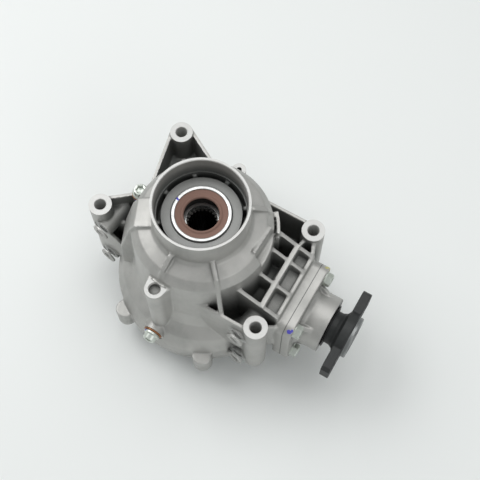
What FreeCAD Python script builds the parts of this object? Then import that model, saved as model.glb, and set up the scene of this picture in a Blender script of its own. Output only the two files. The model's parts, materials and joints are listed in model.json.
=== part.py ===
"""Rear differential of a light utility vehicle, built piece by piece.

The axle axis is the Z axis and its lower output face stands on z = 0. The input shaft runs along +X and
crosses the axle axis at the gear centre, so +Y is up in the vehicle. Sizes are millimetres and degrees.
"""
import FreeCAD, Part
import math
import os
import re

import Sketcher
from FreeCAD import Placement, Rotation, Vector

# Driving dimensions: alias, value, meaning
SIZES = (
    ("gear_centre", 80, "height of the input axis above the lower output face"),
    ("running_gap", 0.05, "radial clearance of a shaft in its bore"),
    ("seat_gap", 0.1, "clearance left between pieces that are bolted or pressed together"),
    ("bolt_gap", 0.4, "radial clearance of a bolt in its hole"),
    # case
    ("split_height", 36, "upper face of the side cover"),
    ("gasket_thick", 0.8, "thickness of the cover gasket"),
    ("case_radius", 91, "outer radius of the case at the cover joint"),
    ("case_wall", 6, "wall of the case"),
    ("rim_height", 54, "height where the widest wall of the case ends"),
    ("bulge_top", 84, "height where the ring gear bulge meets the tall wall"),
    ("waist_radius", 73, "outer radius where the bulge meets the tall wall"),
    ("dome_radius", 66.6, "outer radius at the top of the tall wall"),
    ("dome_height", 165, "height of the top of the tall wall"),
    ("dome_shoulder", 14, "rise of the rounded shoulder up to the collar"),
    ("collar_radius", 45.2, "outer radius of the axle collar"),
    ("collar_wall", 2.9, "wall of the axle collar"),
    ("collar_top", 213, "height of the collar rim"),
    ("mouth_depth", 21.5, "depth of the machined mouth of the collar"),
    ("mouth_step", 0.7, "how far the cast wall of the collar stands inside its machined mouth"),
    ("hub_radius", 37, "outer radius of the seal boss inside the collar"),
    ("hub_top", 189, "height of the seal boss face"),
    ("channel_floor", 173, "floor of the channel between the seal boss and the collar"),
    ("spoke_count", 8, "spokes across the channel"),
    ("spoke_thick", 4.4, "thickness of a spoke"),
    ("spoke_drop", 2, "how far the spokes stay under the boss face"),
    ("spoke_angle", 40, "angle of the first spoke"),
    ("dome_rib_thick", 4.6, "thickness of the radial ribs on the shoulder"),
    ("buttress_wide", 30, "width of the buttress beside the filler boss"),
    # mounting lugs
    ("lug_top", 138, "height of the machined lug faces"),
    ("lug_bottom", 44, "height of the lower lug faces"),
    ("lug_radius", 11.4, "outer radius of a lug"),
    ("lug_bore", 5.55, "radius of a lug hole"),
    ("web_thick", 3.8, "thickness of the webs that carry the lugs"),
    ("web_drop", 3, "how far the webs stay under the machined lug faces"),
    ("lug_tilt", 9.7, "angle from the lug rows back to the input axis"),
    ("lug_upper_row", 71.6, "distance of the upper lug row from the axle axis"),
    ("lug_lower_row", 38.6, "distance of the lower lug row from the axle axis"),
    ("lug_upper_back", 90.4, "rear upper lug, distance along its row"),
    ("lug_upper_front", 77.1, "front upper lug, distance along its row"),
    ("lug_lower_back", 98.7, "rear lower lug, distance along its row"),
    ("lug_lower_front", 95.8, "front lower lug, distance along its row"),
    # bracket bosses
    ("bracket_plane", 55.5, "distance of the bracket face from the axle axis"),
    ("bracket_back", 88.4, "rear bracket bosses, distance along the row"),
    ("bracket_front", 82.9, "front bracket bosses, distance along the row"),
    ("bracket_low", 51, "height of the lower bracket bosses"),
    ("bracket_high", 112, "height of the upper bracket bosses"),
    ("bracket_boss_radius", 9, "outer radius of a bracket boss"),
    ("bracket_boss_low", 24, "length of the lower bracket bosses"),
    ("bracket_boss_high", 40, "length of the upper bracket bosses"),
    ("bracket_thread", 4.2, "radius of a bracket hole, tapped for an M10 screw"),
    ("bracket_depth", 18, "depth of a bracket hole"),
    # input nose
    ("neck_radius", 36, "outer radius of the nose neck"),
    ("nose_radius", 43, "outer radius of the nose around the bearing"),
    ("nose_start", 76, "distance of the nose barrel from the axle axis"),
    ("nose_end", 101, "distance where the nose flange begins"),
    ("nose_face", 109.7, "distance of the nose flange face"),
    ("nose_bolt_circle", 43, "radius of the retainer bolt circle"),
    ("nose_ear_radius", 11, "radius of the corners of the square nose flange"),
    ("nose_bore", 30, "radius of the nose bore around the pinion head"),
    ("lattice_thick", 4, "thickness of the lattice ribs"),
    ("lattice_back", 57, "distance where the lattice tops begin to fall"),
    ("lattice_high", 150, "height of the lattice tops at the dome"),
    ("lattice_low", 130, "height of the lattice tops at the nose flange"),
    ("lattice_rib_a", 36, "place of the first long rib across the nose"),
    ("lattice_rib_b", 18.5, "place of the second long rib"),
    ("lattice_rib_c", -8.4, "place of the third long rib"),
    ("lattice_rib_d", -33.5, "place of the fourth long rib"),
    ("lattice_cross", 82, "distance of the cross rib from the axle axis"),
    ("lattice_floor", 122.5, "floor of the shallow cells"),
    # cover joint
    ("bolt_ring_offset", 2, "distance of the cover bolt circle outside the case wall"),
    ("cover_ear_radius", 10, "radius of the ears on the cover joint"),
    ("cover_ear_top", 52, "height of the spot faces on the case ears"),
    ("cover_bolt_angle", -122, "angle of the first cover bolt"),
    ("cover_bolt_step", 60, "angle between cover bolts"),
    ("cover_nose_split", 27, "angle by which two bolts clear the nose"),
    ("cover_bolt_radius", 4, "shank radius of a cover bolt"),
    ("dowel_inset", 5, "distance of the two dowels inside the case wall"),
    ("dowel_radius", 3, "radius of a dowel"),
    # filler, drain and vent
    ("filler_x", -75.5, "place of the filler boss"),
    ("filler_y", 8, "place of the filler boss"),
    ("filler_top", 138, "height of the filler boss face"),
    ("filler_boss_radius", 8, "outer radius of the filler boss"),
    ("filler_thread", 5, "thread radius of the filler plug"),
    ("plug_washer_thick", 1.6, "thickness of the sealing washers"),
    ("plug_flange_radius", 8.2, "radius of the plug flanges"),
    ("platform_height", 104, "height of the platform around the filler boss"),
    ("drain_x", -8, "place of the drain boss"),
    ("drain_z", 66, "height of the drain boss"),
    ("drain_inset", 2, "how far the drain boss face lies inside the widest wall"),
    ("drain_boss_radius", 11, "outer radius of the drain boss"),
    ("drain_thread", 6, "thread radius of the drain plug"),
    ("vent_x", -6.6, "place of the threaded pad on the shoulder"),
    ("vent_y", -74.3, "place of the threaded pad on the shoulder"),
    ("vent_top", 160, "height of the threaded pad"),
    ("vent_boss_radius", 9.6, "outer radius of the threaded pad"),
    ("vent_bore", 6, "radius of the threaded hole in the pad"),
    ("vent_depth", 8, "depth of the threaded hole in the pad"),
    ("shoulder_boss_top", 150, "height of the small tapped boss on the shoulder"),
    # carrier bearings and seals
    ("bearing_outer", 37.5, "outer radius of a carrier bearing"),
    ("bearing_bore", 22.5, "bore radius of a carrier bearing"),
    ("bearing_width", 16, "width of a carrier bearing"),
    ("upper_bearing", 155, "height of the lower side of the upper carrier bearing"),
    ("lower_bearing", 15, "height of the lower side of the lower carrier bearing"),
    ("seal_outer", 27.8, "outer radius of an axle seal"),
    ("seal_lip", 16.2, "radius of an axle seal lip"),
    ("seal_width", 9, "width of an axle seal"),
    ("seal_proud", 2, "how far the upper seal stands out of its boss"),
    ("lower_collar", 5.5, "depth of the shallow collar on the lower side"),
    # gears
    ("ring_teeth", 33, "teeth of the ring gear"),
    ("pinion_teeth", 10, "teeth of the pinion"),
    ("cone_distance", 78.4, "outer cone distance of ring gear and pinion"),
    ("face_width", 21, "face width of ring gear and pinion"),
    ("ring_back", 40, "height of the back face of the ring gear"),
    ("ring_bore", 46, "bore radius of the ring gear"),
    ("ring_bolt_circle", 55, "radius of the ring gear bolt circle"),
    ("ring_bolt_count", 10, "ring gear bolts"),
    ("side_teeth", 14, "teeth of a side gear"),
    ("spider_teeth", 10, "teeth of a spider gear"),
    ("small_cone_distance", 32, "outer cone distance of the differential gears"),
    ("small_face_width", 12, "face width of the differential gears"),
    ("side_hub_radius", 17.5, "outer radius of a side gear hub"),
    ("side_bore", 14.6, "pilot bore radius of a side gear"),
    ("spline_count", 24, "splines in a side gear"),
    ("spline_root", 14.2, "radius at the bottom of the splines"),
    ("spline_depth", 1.1, "height of a spline"),
    ("side_pilot", 8, "length of the plain mouth of a side gear bore"),
    ("side_hub_top", 176, "height of the end of the upper side gear hub"),
    # differential carrier
    ("carrier_radius", 43, "outer radius of the carrier"),
    ("carrier_room", 32, "radius of the room inside the carrier"),
    ("carrier_room_half", 26.2, "half height of the room inside the carrier"),
    ("spider_spot_radius", 21.8, "radius of the flats behind the spider gears"),
    ("carrier_flange_radius", 63, "radius of the carrier flange"),
    ("carrier_flange_thick", 8, "thickness of the carrier flange"),
    ("cross_pin_radius", 7.5, "radius of the cross pin"),
    ("window_width", 34, "width of the carrier windows"),
    ("window_height", 40, "height of the carrier windows"),
    # pinion line
    ("head_bearing_outer", 36, "outer radius of the head bearing"),
    ("head_bearing_bore", 16, "bore radius of the head bearing"),
    ("head_bearing_start", 82, "distance of the head bearing from the axle axis"),
    ("head_bearing_width", 19, "width of the head bearing"),
    ("tail_bearing_outer", 23.5, "outer radius of the tail bearing"),
    ("tail_bearing_bore", 12.5, "bore radius of the tail bearing"),
    ("tail_bearing_start", 117, "distance of the tail bearing from the axle axis"),
    ("tail_bearing_width", 12, "width of the tail bearing"),
    ("retainer_flange_thick", 8, "thickness of the retainer flange"),
    ("retainer_radius", 28.8, "outer radius of the retainer barrel"),
    ("retainer_end", 141.7, "distance of the outer end of the retainer"),
    ("retainer_spigot", 7, "length of the retainer spigot in the nose"),
    ("retainer_bolt_radius", 4, "shank radius of a retainer bolt"),
    ("input_seal_width", 8, "width of the input seal"),
    ("input_neck_radius", 17, "radius of the input flange neck"),
    ("flange_start", 155, "distance of the inner face of the input flange"),
    ("flange_thick", 9.4, "thickness of the input flange"),
    ("flange_span", 45.8, "distance of an arm tip from the input axis"),
    ("flange_arm_half", 13, "half width of a flange arm"),
    ("flange_hub_radius", 24, "radius of the middle of the flange plate"),
    ("flange_bolt_reach", 35, "distance of a flange bolt hole from the input axis"),
    ("flange_bolt_hole", 5.25, "radius of a flange bolt hole"),
    ("pilot_radius", 21.5, "radius of the pilot on the input flange"),
    ("pilot_length", 4.4, "length of the pilot on the input flange"),
    ("shaft_radius", 11.5, "radius of the splined end of the pinion shaft"),
)

NAMES = {alias for alias, value, meaning in SIZES}
SIZE = {alias: value for alias, value, meaning in SIZES}

doc = FreeCAD.newDocument("RearDifferential")
sheet = doc.addObject("Spreadsheet::Sheet", "Sizes")

UPRIGHT = Rotation()
DOWNWARD = Rotation(Vector(1, 0, 0), 180)
FORWARD = Rotation(Vector(0, 1, 0), 90)
TO_PLUS_Y = Rotation(Vector(1, 0, 0), -90)
TO_MINUS_Y = Rotation(Vector(1, 0, 0), 90)
CENTRE = ("0", "0", "gear_centre")
ORIGIN = ("0", "0", "0")
COVER_BOLT_CIRCLE = "(case_radius + bolt_ring_offset)"
DOWEL_CIRCLE = "(case_radius - dowel_inset)"
DRAIN_FACE = "(case_radius - drain_inset)"
BOLT_HALF = "(nose_bolt_circle * cos(45 deg))"
FLANGE_HALF = "(nose_bolt_circle * cos(45 deg) + nose_ear_radius)"
DOWEL_ANGLES = (10, 190)
PRESSURE_ANGLE = math.radians(22.5)
RING_TOOTH = (0.55, 1.1, 0.42)
PINION_TOOTH = (0.85, 0.8, 0.5)
SIDE_TOOTH = (0.55, 1.05, 0.42)
SPIDER_TOOTH = (0.8, 0.8, 0.48)


def fill_sheet():
    """Write the driving dimensions, one row each."""
    for row, (alias, value, meaning) in enumerate(SIZES, start=1):
        sheet.set("A%d" % row, meaning)
        sheet.set("B%d" % row, str(value))
        sheet.setAlias("B%d" % row, alias)
    doc.recompute()


def formula(text):
    """Put the sheet's name before each driving dimension in a formula."""
    return re.sub(r"[a-z][a-z_]*[a-z]", lambda found: "Sizes." + found.group() if found.group() in NAMES
                  else found.group(), str(text))


def bind(item, **formulas):
    """Tie properties of an object to the sheet."""
    for name, text in formulas.items():
        item.setExpression(name, formula(text))


def place(item, base=ORIGIN, turn=UPRIGHT):
    """Turn an object and tie its position to the sheet."""
    item.Placement = Placement(Vector(), turn)
    for axis, text in zip("xyz", base):
        item.setExpression(".Placement.Base." + axis, formula(text))


def cylinder(name, radius, height, base=ORIGIN, turn=UPRIGHT):
    made = doc.addObject("Part::Cylinder", name)
    bind(made, Radius=radius, Height=height)
    place(made, base, turn)
    return made


def box(name, length, width, height, base=ORIGIN, turn=UPRIGHT):
    made = doc.addObject("Part::Box", name)
    bind(made, Length=length, Width=width, Height=height)
    place(made, base, turn)
    return made


def fuse(name, items):
    made = doc.addObject("Part::MultiFuse", name)
    made.Refine = False
    made.Shapes = items
    return made


def cut(name, base, tool):
    made = doc.addObject("Part::Cut", name)
    made.Refine = False
    made.Base = base
    made.Tool = tool
    return made


def group(name, items):
    """Identical loose pieces kept as separate solids in one node."""
    made = doc.addObject("Part::Compound", name)
    made.Links = items
    return made


def draw(sketch, points):
    """Draw a closed outline through points given as pairs of formulas, each tied to the sheet."""
    count = len(points)
    rough = [Vector(30 + 20 * math.cos(2 * math.pi * step / count), 20 * math.sin(2 * math.pi * step / count), 0)
             for step in range(count)]
    for step in range(count):
        sketch.addGeometry(Part.LineSegment(rough[step], rough[(step + 1) % count]), False)
    for step in range(count):
        sketch.addConstraint(Sketcher.Constraint("Coincident", step, 2, (step + 1) % count, 1))
    for step, pair in enumerate(points):
        for kind, axis, text in (("DistanceX", -2, pair[0]), ("DistanceY", -1, pair[1])):
            if text == "0":
                sketch.addConstraint(Sketcher.Constraint("PointOnObject", step, 1, axis))
                continue
            start = rough[step].x if kind == "DistanceX" else rough[step].y
            index = sketch.addConstraint(Sketcher.Constraint(kind, -1, 1, step, 1, start))
            sketch.setExpression("Constraints[%d]" % index, formula(text))


def attach(sketch, body, role):
    """Attach a sketch to an origin plane of its own body."""
    plane = [item for item in body.Origin.OriginFeatures if item.Role == role][0]
    sketch.AttachmentSupport = [(plane, "")]
    sketch.MapMode = "FlatFace"


def turned(name, points, base=ORIGIN, turn=UPRIGHT):
    """A body turned about its own Z axis from an outline of radius and height."""
    body = doc.addObject("PartDesign::Body", name)
    sketch = body.newObject("Sketcher::SketchObject", name + "_outline")
    attach(sketch, body, "XZ_Plane")
    draw(sketch, points)
    feature = body.newObject("PartDesign::Revolution", name + "_turning")
    feature.Profile = sketch
    feature.ReferenceAxis = (sketch, ["V_Axis"])
    feature.Angle = 360
    place(body, base, turn)
    return body


def ring(name, inner, outer, low, high, base=ORIGIN, turn=UPRIGHT):
    """A plain turned ring between two radii and two heights."""
    return turned(name, ((inner, low), (outer, low), (outer, high), (inner, high)), base, turn)


def plate(name, points, thickness, base, yaw):
    """A wall standing on edge: an outline of run and height, made thick to both sides."""
    sketch = doc.addObject("Sketcher::SketchObject", name + "_outline")
    draw(sketch, points)
    sketch.Placement = Placement(Vector(), Rotation(Vector(0, 0, 1), yaw) * Rotation(Vector(1, 0, 0), 90))
    for axis, text in zip("xyz", base):
        sketch.setExpression(".Placement.Base." + axis, formula(text))
    made = doc.addObject("Part::Extrusion", name)
    made.Base = sketch
    made.DirMode = "Normal"
    made.Solid = True
    made.Symmetric = True
    bind(made, LengthFwd=thickness)
    return made


def slab(name, points, low, high):
    """A level block: an outline in plan, from one height up to another."""
    sketch = doc.addObject("Sketcher::SketchObject", name + "_outline")
    draw(sketch, points)
    place(sketch, ("0", "0", low))
    made = doc.addObject("Part::Extrusion", name)
    made.Base = sketch
    made.DirMode = "Normal"
    made.Solid = True
    bind(made, LengthFwd="(%s) - (%s)" % (high, low))
    return made


def wall(name, start, end, thickness, low, high, high_end=None):
    """A standing wall between two points in plan; its top may fall from one end to the other."""
    run = math.hypot(end[0] - start[0], end[1] - start[1])
    yaw = math.degrees(math.atan2(end[1] - start[1], end[0] - start[0]))
    points = (("0", low), (str(run), low), (str(run), high_end or high), ("0", high))
    return plate(name, points, thickness, (str(start[0]), str(start[1]), "0"), yaw)


def lug_places():
    """Plan places of the four mounting lugs: rear upper, front upper, rear lower, front lower."""
    tilt = math.radians(-SIZE["lug_tilt"])
    along = Vector(math.cos(tilt), math.sin(tilt), 0)
    across = Vector(-math.sin(tilt), math.cos(tilt), 0)
    rows = ((-SIZE["lug_upper_back"], SIZE["lug_upper_row"]), (SIZE["lug_upper_front"], SIZE["lug_upper_row"]),
            (-SIZE["lug_lower_back"], -SIZE["lug_lower_row"]), (SIZE["lug_lower_front"], -SIZE["lug_lower_row"]))
    return [along * run + across * rise for run, rise in rows]


def bracket_places():
    """Face centres of the four bracket bosses, and the outward direction of their common face."""
    tilt = math.radians(-SIZE["lug_tilt"])
    along = Vector(math.cos(tilt), math.sin(tilt), 0)
    outward = Vector(math.sin(tilt), -math.cos(tilt), 0)
    places = []
    for run in (-SIZE["bracket_back"], SIZE["bracket_front"]):
        for height in (SIZE["bracket_low"], SIZE["bracket_high"]):
            places.append(along * run + outward * SIZE["bracket_plane"] + Vector(0, 0, height))
    return places, outward


def cover_bolt_angles():
    """Angles of the cover bolts: an even ring, but two bolts straddle the nose instead of one under it."""
    first, step, split = SIZE["cover_bolt_angle"], SIZE["cover_bolt_step"], SIZE["cover_nose_split"]
    angles = [first + step * turn for turn in range(6) if turn != 2]
    return angles + [first + 2 * step - split, first + 2 * step + split]


def around(radius, angle, height="0"):
    """Formulas for a point on a circle about the axle axis."""
    return ("(%s) * cos(%s deg)" % (radius, angle), "(%s) * sin(%s deg)" % (radius, angle), height)


def case_bell():
    """Outside of the main casting: joint rim, ring gear bulge, tall wall, rounded shoulder and collar."""
    sketch = doc.addObject("Sketcher::SketchObject", "bell_outline")
    draw(sketch, (
        ("0", "split_height + gasket_thick"),
        ("case_radius", "split_height + gasket_thick"),
        ("case_radius", "rim_height"),
        ("case_radius - 7", "bulge_top - 14"),
        ("waist_radius", "bulge_top"),
        ("dome_radius + 2.4", "bulge_top + 18"),
        ("dome_radius", "dome_height"),
        ("dome_radius - 6.6", "dome_height + 9"),
        ("collar_radius + 2", "dome_height + dome_shoulder"),
        ("collar_radius", "dome_height + dome_shoulder + 4"),
        ("collar_radius", "collar_top"),
        ("collar_radius - collar_wall", "collar_top"),
        ("collar_radius - collar_wall", "collar_top - mouth_depth"),
        ("collar_radius - collar_wall - mouth_step", "collar_top - mouth_depth"),
        ("collar_radius - collar_wall - mouth_step", "hub_top"),
        ("0", "hub_top"),
    ))
    sketch.Placement = Placement(Vector(), Rotation(Vector(1, 0, 0), 90))
    made = doc.addObject("Part::Revolution", "bell")
    made.Source = sketch
    made.Axis = Vector(0, 0, 1)
    made.Angle = 360
    made.Solid = True
    return made


def case_nose():
    """Neck, bearing barrel and square flange of the input nose."""
    parts = [
        cylinder("neck", "neck_radius", "nose_start - 24", ("30", "0", "gear_centre"), FORWARD),
        cylinder("nose_barrel", "nose_radius", "nose_end - nose_start", ("nose_start", "0", "gear_centre"), FORWARD),
        box("nose_flange_wide", "nose_face - nose_end", "2 * " + FLANGE_HALF, "2 * " + BOLT_HALF,
            ("nose_end", "-" + FLANGE_HALF, "gear_centre - " + BOLT_HALF)),
        box("nose_flange_tall", "nose_face - nose_end", "2 * " + BOLT_HALF, "2 * " + FLANGE_HALF,
            ("nose_end", "-" + BOLT_HALF, "gear_centre - " + FLANGE_HALF)),
    ]
    for corner in range(4):
        angle = 45 + 90 * corner
        base = ("nose_end", "nose_bolt_circle * cos(%d deg)" % angle,
                "gear_centre + nose_bolt_circle * sin(%d deg)" % angle)
        parts.append(cylinder("nose_ear_%d" % corner, "nose_ear_radius", "nose_face - nose_end", base, FORWARD))
    return parts


def case_lattice():
    """Open lattice of ribs over the nose: four long ribs with falling tops, a cross rib and two end walls."""
    parts = []
    slope = "(lattice_high - lattice_low) / (nose_end - lattice_back)"
    for name, foot in (("a", "gear_centre"), ("b", "gear_centre + 20"), ("c", "gear_centre + 20"),
                       ("d", "gear_centre")):
        points = (("30", foot), ("nose_end", foot), ("nose_end", "lattice_low"), ("lattice_back", "lattice_high"),
                  ("30", "lattice_high"))
        parts.append(plate("lattice_rib_%s_wall" % name, points, "lattice_thick", ("0", "lattice_rib_" + name, "0"),
                           0))
    width = "lattice_rib_a - lattice_rib_d + lattice_thick"
    side = "lattice_rib_d - lattice_thick / 2"
    cross_top = "lattice_low + (nose_end - lattice_cross) * %s" % slope
    parts.append(box("lattice_cross_wall", "lattice_thick + 1", width, cross_top + " - gear_centre - 20",
                     ("lattice_cross - lattice_thick / 2", side, "gear_centre + 20")))
    parts.append(box("lattice_end_wall", "lattice_thick", width, "lattice_low - gear_centre",
                     ("nose_end - lattice_thick", side, "gear_centre")))
    parts.append(box("lattice_floor_block", "nose_end - lattice_cross", width, "lattice_floor - gear_centre - 20",
                     ("lattice_cross", side, "gear_centre + 20")))
    parts.append(box("lattice_root_wall", "lattice_thick", "lattice_rib_a - lattice_rib_d + 6",
                     "lattice_high - gear_centre - 20", ("lattice_back - lattice_thick - 2", side,
                                                         "gear_centre + 20")))
    return parts


def case_lugs(places):
    return [cylinder("lug_%d" % index, "lug_radius", "lug_top - lug_bottom", (str(at.x), str(at.y), "lug_bottom"))
            for index, at in enumerate(places)]


def case_webs(places):
    """Walls that tie the four lugs to the bell and the nose."""
    back_up, front_up, back_low, front_low = places
    side = SIZE["lug_radius"] - SIZE["web_thick"] / 2
    reach = SIZE["dome_radius"] - 4
    parts = [
        wall("web_a_left", (back_up.x - side, back_up.y - 4), (-reach - 8, 12), "web_thick", "lug_bottom + 16",
             "lug_top - web_drop"),
        wall("web_a_right", (back_up.x + 4, back_up.y + side), (-14, reach), "web_thick", "lug_bottom + 16",
             "lug_top - web_drop"),
        wall("web_b_upper", (back_low.x, back_low.y + side), (SIZE["filler_x"] - 4, SIZE["filler_y"]), "web_thick",
             "lug_bottom + 20", "lug_top - web_drop"),
        wall("web_b_middle", (back_low.x + 6, back_low.y + 2), (-reach, -16), "web_thick", "lug_bottom + 20",
             "lug_top - 24"),
        wall("web_b_lower", (back_low.x + 4, back_low.y - side), (-reach + 2, -34), "web_thick", "lug_bottom + 10",
             "lug_top - 26", "lug_top - 56"),
        wall("web_c_long", (front_up.x - 8, front_up.y + 5.6), (20, front_up.y + 5.6), "web_thick",
             "lug_bottom + 16", "lug_top - web_drop"),
        wall("web_c_cross", (front_up.x - 3, front_up.y - 8), (SIZE["lattice_cross"], SIZE["lattice_rib_a"]),
             "web_thick", "lug_bottom + 30", "lug_top - 6"),
        wall("web_c_nose", (front_up.x + 5, front_up.y - 8), (SIZE["nose_end"] - 1, 34), "web_thick",
             "lug_bottom + 20", "lug_top - 4", "lattice_low"),
        wall("web_d_gusset", (17, -62), (31, -59.3), "web_thick", "lug_bottom + 22", "lug_top - 4"),
        wall("web_d_long", (31, -59.3), (front_low.x - 6, front_low.y - 4.5), "web_thick", "lug_bottom + 22",
             "lug_top - 3"),
        wall("web_d_nose", (front_low.x + 4, front_low.y + 8), (SIZE["nose_end"] + 2, -37), "web_thick",
             "lug_bottom + 24", "lug_top - 14", "lug_top - 20"),
    ]
    parts.append(slab("web_a_floor", (
        (str(back_up.x - 8), str(back_up.y)), (str(-reach - 6), "12"), ("-40", "40"), ("-14", str(reach - 2)),
        (str(back_up.x), str(back_up.y + 8))), "lug_top - 42", "lug_top - 36"))
    parts.append(slab("web_c_floor", (
        (str(front_up.x), str(front_up.y)), ("40", "64"), ("50", "34"), ("nose_end - 2", "30")),
        "gear_centre", "gear_centre + 6"))
    parts.append(slab("web_d_floor", (
        (str(front_low.x), str(front_low.y)), ("34", "-58"), ("44", "-30"), ("nose_end - 2", "-30")),
        "gear_centre", "gear_centre + 6"))
    return parts


def bracket_bosses():
    """Four round bosses whose faces lie in one plane under the nose side."""
    places, outward = bracket_places()
    turn = Rotation(Vector(0, 0, 1), -outward)
    return [cylinder("bracket_boss_%d" % index, "bracket_boss_radius", "bracket_boss_low" if index % 2 == 0 else
                     "bracket_boss_high", (str(at.x), str(at.y), str(at.z)), turn)
            for index, at in enumerate(places)]


def case_ears():
    """Ears of the cover bolts on the joint rim of the case."""
    return [cylinder("case_ear_%d" % index, "cover_ear_radius", "cover_ear_top - split_height - gasket_thick",
                     around(COVER_BOLT_CIRCLE, angle, "split_height + gasket_thick"))
            for index, angle in enumerate(cover_bolt_angles())]


def case_bosses():
    """Filler, drain, vent and shoulder bosses."""
    parts = []
    parts.append(cylinder("filler_boss", "filler_boss_radius", "filler_top - lug_bottom - 30",
                          ("filler_x", "filler_y", "lug_bottom + 30")))
    parts.append(slab("filler_platform", (("filler_x - 12", "filler_y - 8"), ("filler_x", "filler_y - 28"),
                                          ("filler_x + 18", "filler_y - 14"), ("filler_x + 18", "filler_y + 12"),
                                          ("filler_x - 6", "filler_y + 10")),
                      "platform_height - 30", "platform_height"))
    parts.append(cylinder("drain_boss", "drain_boss_radius", DRAIN_FACE + " - 60", ("drain_x", "-60", "drain_z"),
                          TO_MINUS_Y))
    parts.append(cylinder("vent_boss", "vent_boss_radius", "vent_top - gear_centre + 4",
                          ("vent_x", "vent_y", "gear_centre - 4")))
    parts.append(slab("vent_block", (("vent_x - 13.1", "vent_y + 13.3"), ("vent_x - 9.1", "vent_y - 1.8"),
                                     ("vent_x + 8.8", "vent_y - 3"), ("vent_x + 15.4", "vent_y + 14"),
                                     ("vent_x + 10", "vent_y + 26"), ("vent_x - 9", "vent_y + 26")),
                      "gear_centre - 4", "vent_top"))
    parts.append(cylinder("shoulder_boss", "7", "shoulder_boss_top - gear_centre - 30", ("-3", "73",
                                                                                      "gear_centre + 30")))
    return parts


def dome_ribs():
    """Ribs from the collar out over the rounded shoulder, and the ridge that frames the flat by the nose."""
    rib = (("hub_radius", "dome_height - 60"), ("dome_radius + 2", "dome_height - 60"),
           ("dome_radius + 1.5", "dome_height - 4"), ("dome_radius - 5", "dome_height + 12"),
           ("collar_radius + 3", "dome_height + dome_shoulder + 6"),
           ("hub_radius + 6", "dome_height + dome_shoulder + 6"))
    long_rib = rib[:1] + (("dome_radius + 14", "dome_height - 60"), ("dome_radius + 14", "lug_top - 7"),
                          ("dome_radius + 2", "dome_height - 3")) + rib[3:]
    back_rib = (("dome_radius - 8", "lug_bottom + 60"), ("dome_radius + 24", "lug_bottom + 60"),
                ("dome_radius + 22", "lug_top - 6"), ("dome_radius + 4", "dome_height - 6"),
                ("dome_radius - 8", "dome_height"))
    parts = [plate("dome_rib_%d" % index, points, "dome_rib_thick", ORIGIN, angle)
             for index, (angle, points) in enumerate(((-95, rib), (-47, long_rib), (40, rib), (134, back_rib)))]
    buttress = (("hub_radius", "rim_height + 30"), ("dome_radius + 15", "rim_height + 30"),
                ("dome_radius + 13", "rim_height + 68"), ("dome_radius + 1", "dome_height"),
                ("dome_radius - 5", "dome_height + 11.5"), ("collar_radius + 3", "dome_height + dome_shoulder + 2"),
                ("hub_radius + 6", "dome_height + dome_shoulder + 2"))
    parts.append(plate("filler_buttress", buttress, "buttress_wide", ORIGIN, -157))
    rim = cut("shoulder_rim", cylinder("shoulder_rim_outer", "dome_radius + 5.6", "44", ("0", "0", "dome_height - 46"),
                                       Rotation(Vector(0, 0, 1), 22)),
              cylinder("shoulder_rim_inner", "dome_radius + 2", "46", ("0", "0", "dome_height - 47")))
    doc.getObject("shoulder_rim_outer").Angle = 20
    parts.append(rim)
    parts.append(wall("nose_edge_rib", (57, -5), (57, 27), "3.6", "dome_height - 20", "dome_height + 12.5",
                      "dome_height + 8"))
    return parts


def shoulder_flat():
    """The flat that cuts the rounded shoulder off toward the nose."""
    return box("shoulder_flat", "12", "34", "dome_height - upper_bearing + 20", ("dome_radius - 7.8", "-6",
                                                                               "upper_bearing + 2"))


def case_room():
    """Inside of the casting: gear room, bearing seats and seal seats, and the channel in the collar."""
    sketch = doc.addObject("Sketcher::SketchObject", "room_outline")
    draw(sketch, (
        ("0", "split_height - 1"),
        ("case_radius - case_wall - 5", "split_height - 1"),
        ("case_radius - case_wall - 5", "rim_height + 10"),
        ("waist_radius - case_wall", "bulge_top - 4"),
        ("dome_radius - case_wall + 2", "bulge_top + 18"),
        ("dome_radius - case_wall", "upper_bearing - 7"),
        ("bearing_outer + 6", "upper_bearing - 1"),
        ("bearing_outer", "upper_bearing - 1"),
        ("bearing_outer", "upper_bearing + bearing_width"),
        ("seal_outer + 4", "upper_bearing + bearing_width"),
        ("seal_outer + 4", "hub_top + seal_proud - seal_width - 1"),
        ("seal_outer - 3", "hub_top + seal_proud - seal_width - 1"),
        ("seal_outer - 3", "hub_top + seal_proud - seal_width"),
        ("seal_outer", "hub_top + seal_proud - seal_width"),
        ("seal_outer", "hub_top + 1"),
        ("0", "hub_top + 1"),
    ))
    sketch.Placement = Placement(Vector(), Rotation(Vector(1, 0, 0), 90))
    room = doc.addObject("Part::Revolution", "room")
    room.Source = sketch
    room.Axis = Vector(0, 0, 1)
    room.Angle = 360
    room.Solid = True
    nose = [
        cylinder("nose_room", "nose_bore", "head_bearing_start - 30", ("30", "0", "gear_centre"), FORWARD),
        cylinder("nose_seat", "head_bearing_outer", "nose_face - head_bearing_start + 1",
                 ("head_bearing_start", "0", "gear_centre"), FORWARD),
    ]
    return [room] + nose


def case_channel():
    """The ring channel between seal boss and collar, left out where the spokes stand."""
    ring_cut = cut("channel", cylinder("channel_outer", "collar_radius - collar_wall - mouth_step",
                                       "hub_top - channel_floor + 1", ("0", "0", "channel_floor")),
                   cylinder("channel_inner", "hub_radius", "hub_top - channel_floor + 1",
                            ("0", "0", "channel_floor")))
    spokes = []
    for index in range(SIZE["spoke_count"]):
        angle = SIZE["spoke_angle"] + 360 * index / SIZE["spoke_count"]
        points = (("hub_radius - 2", "channel_floor - 1"), ("collar_radius", "channel_floor - 1"),
                  ("collar_radius", "hub_top - spoke_drop"), ("hub_radius - 2", "hub_top - spoke_drop"))
        spokes.append(plate("spoke_%d" % index, points, "spoke_thick", ORIGIN, angle))
    return cut("channel_spoked", ring_cut, fuse("spokes", spokes))


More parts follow.
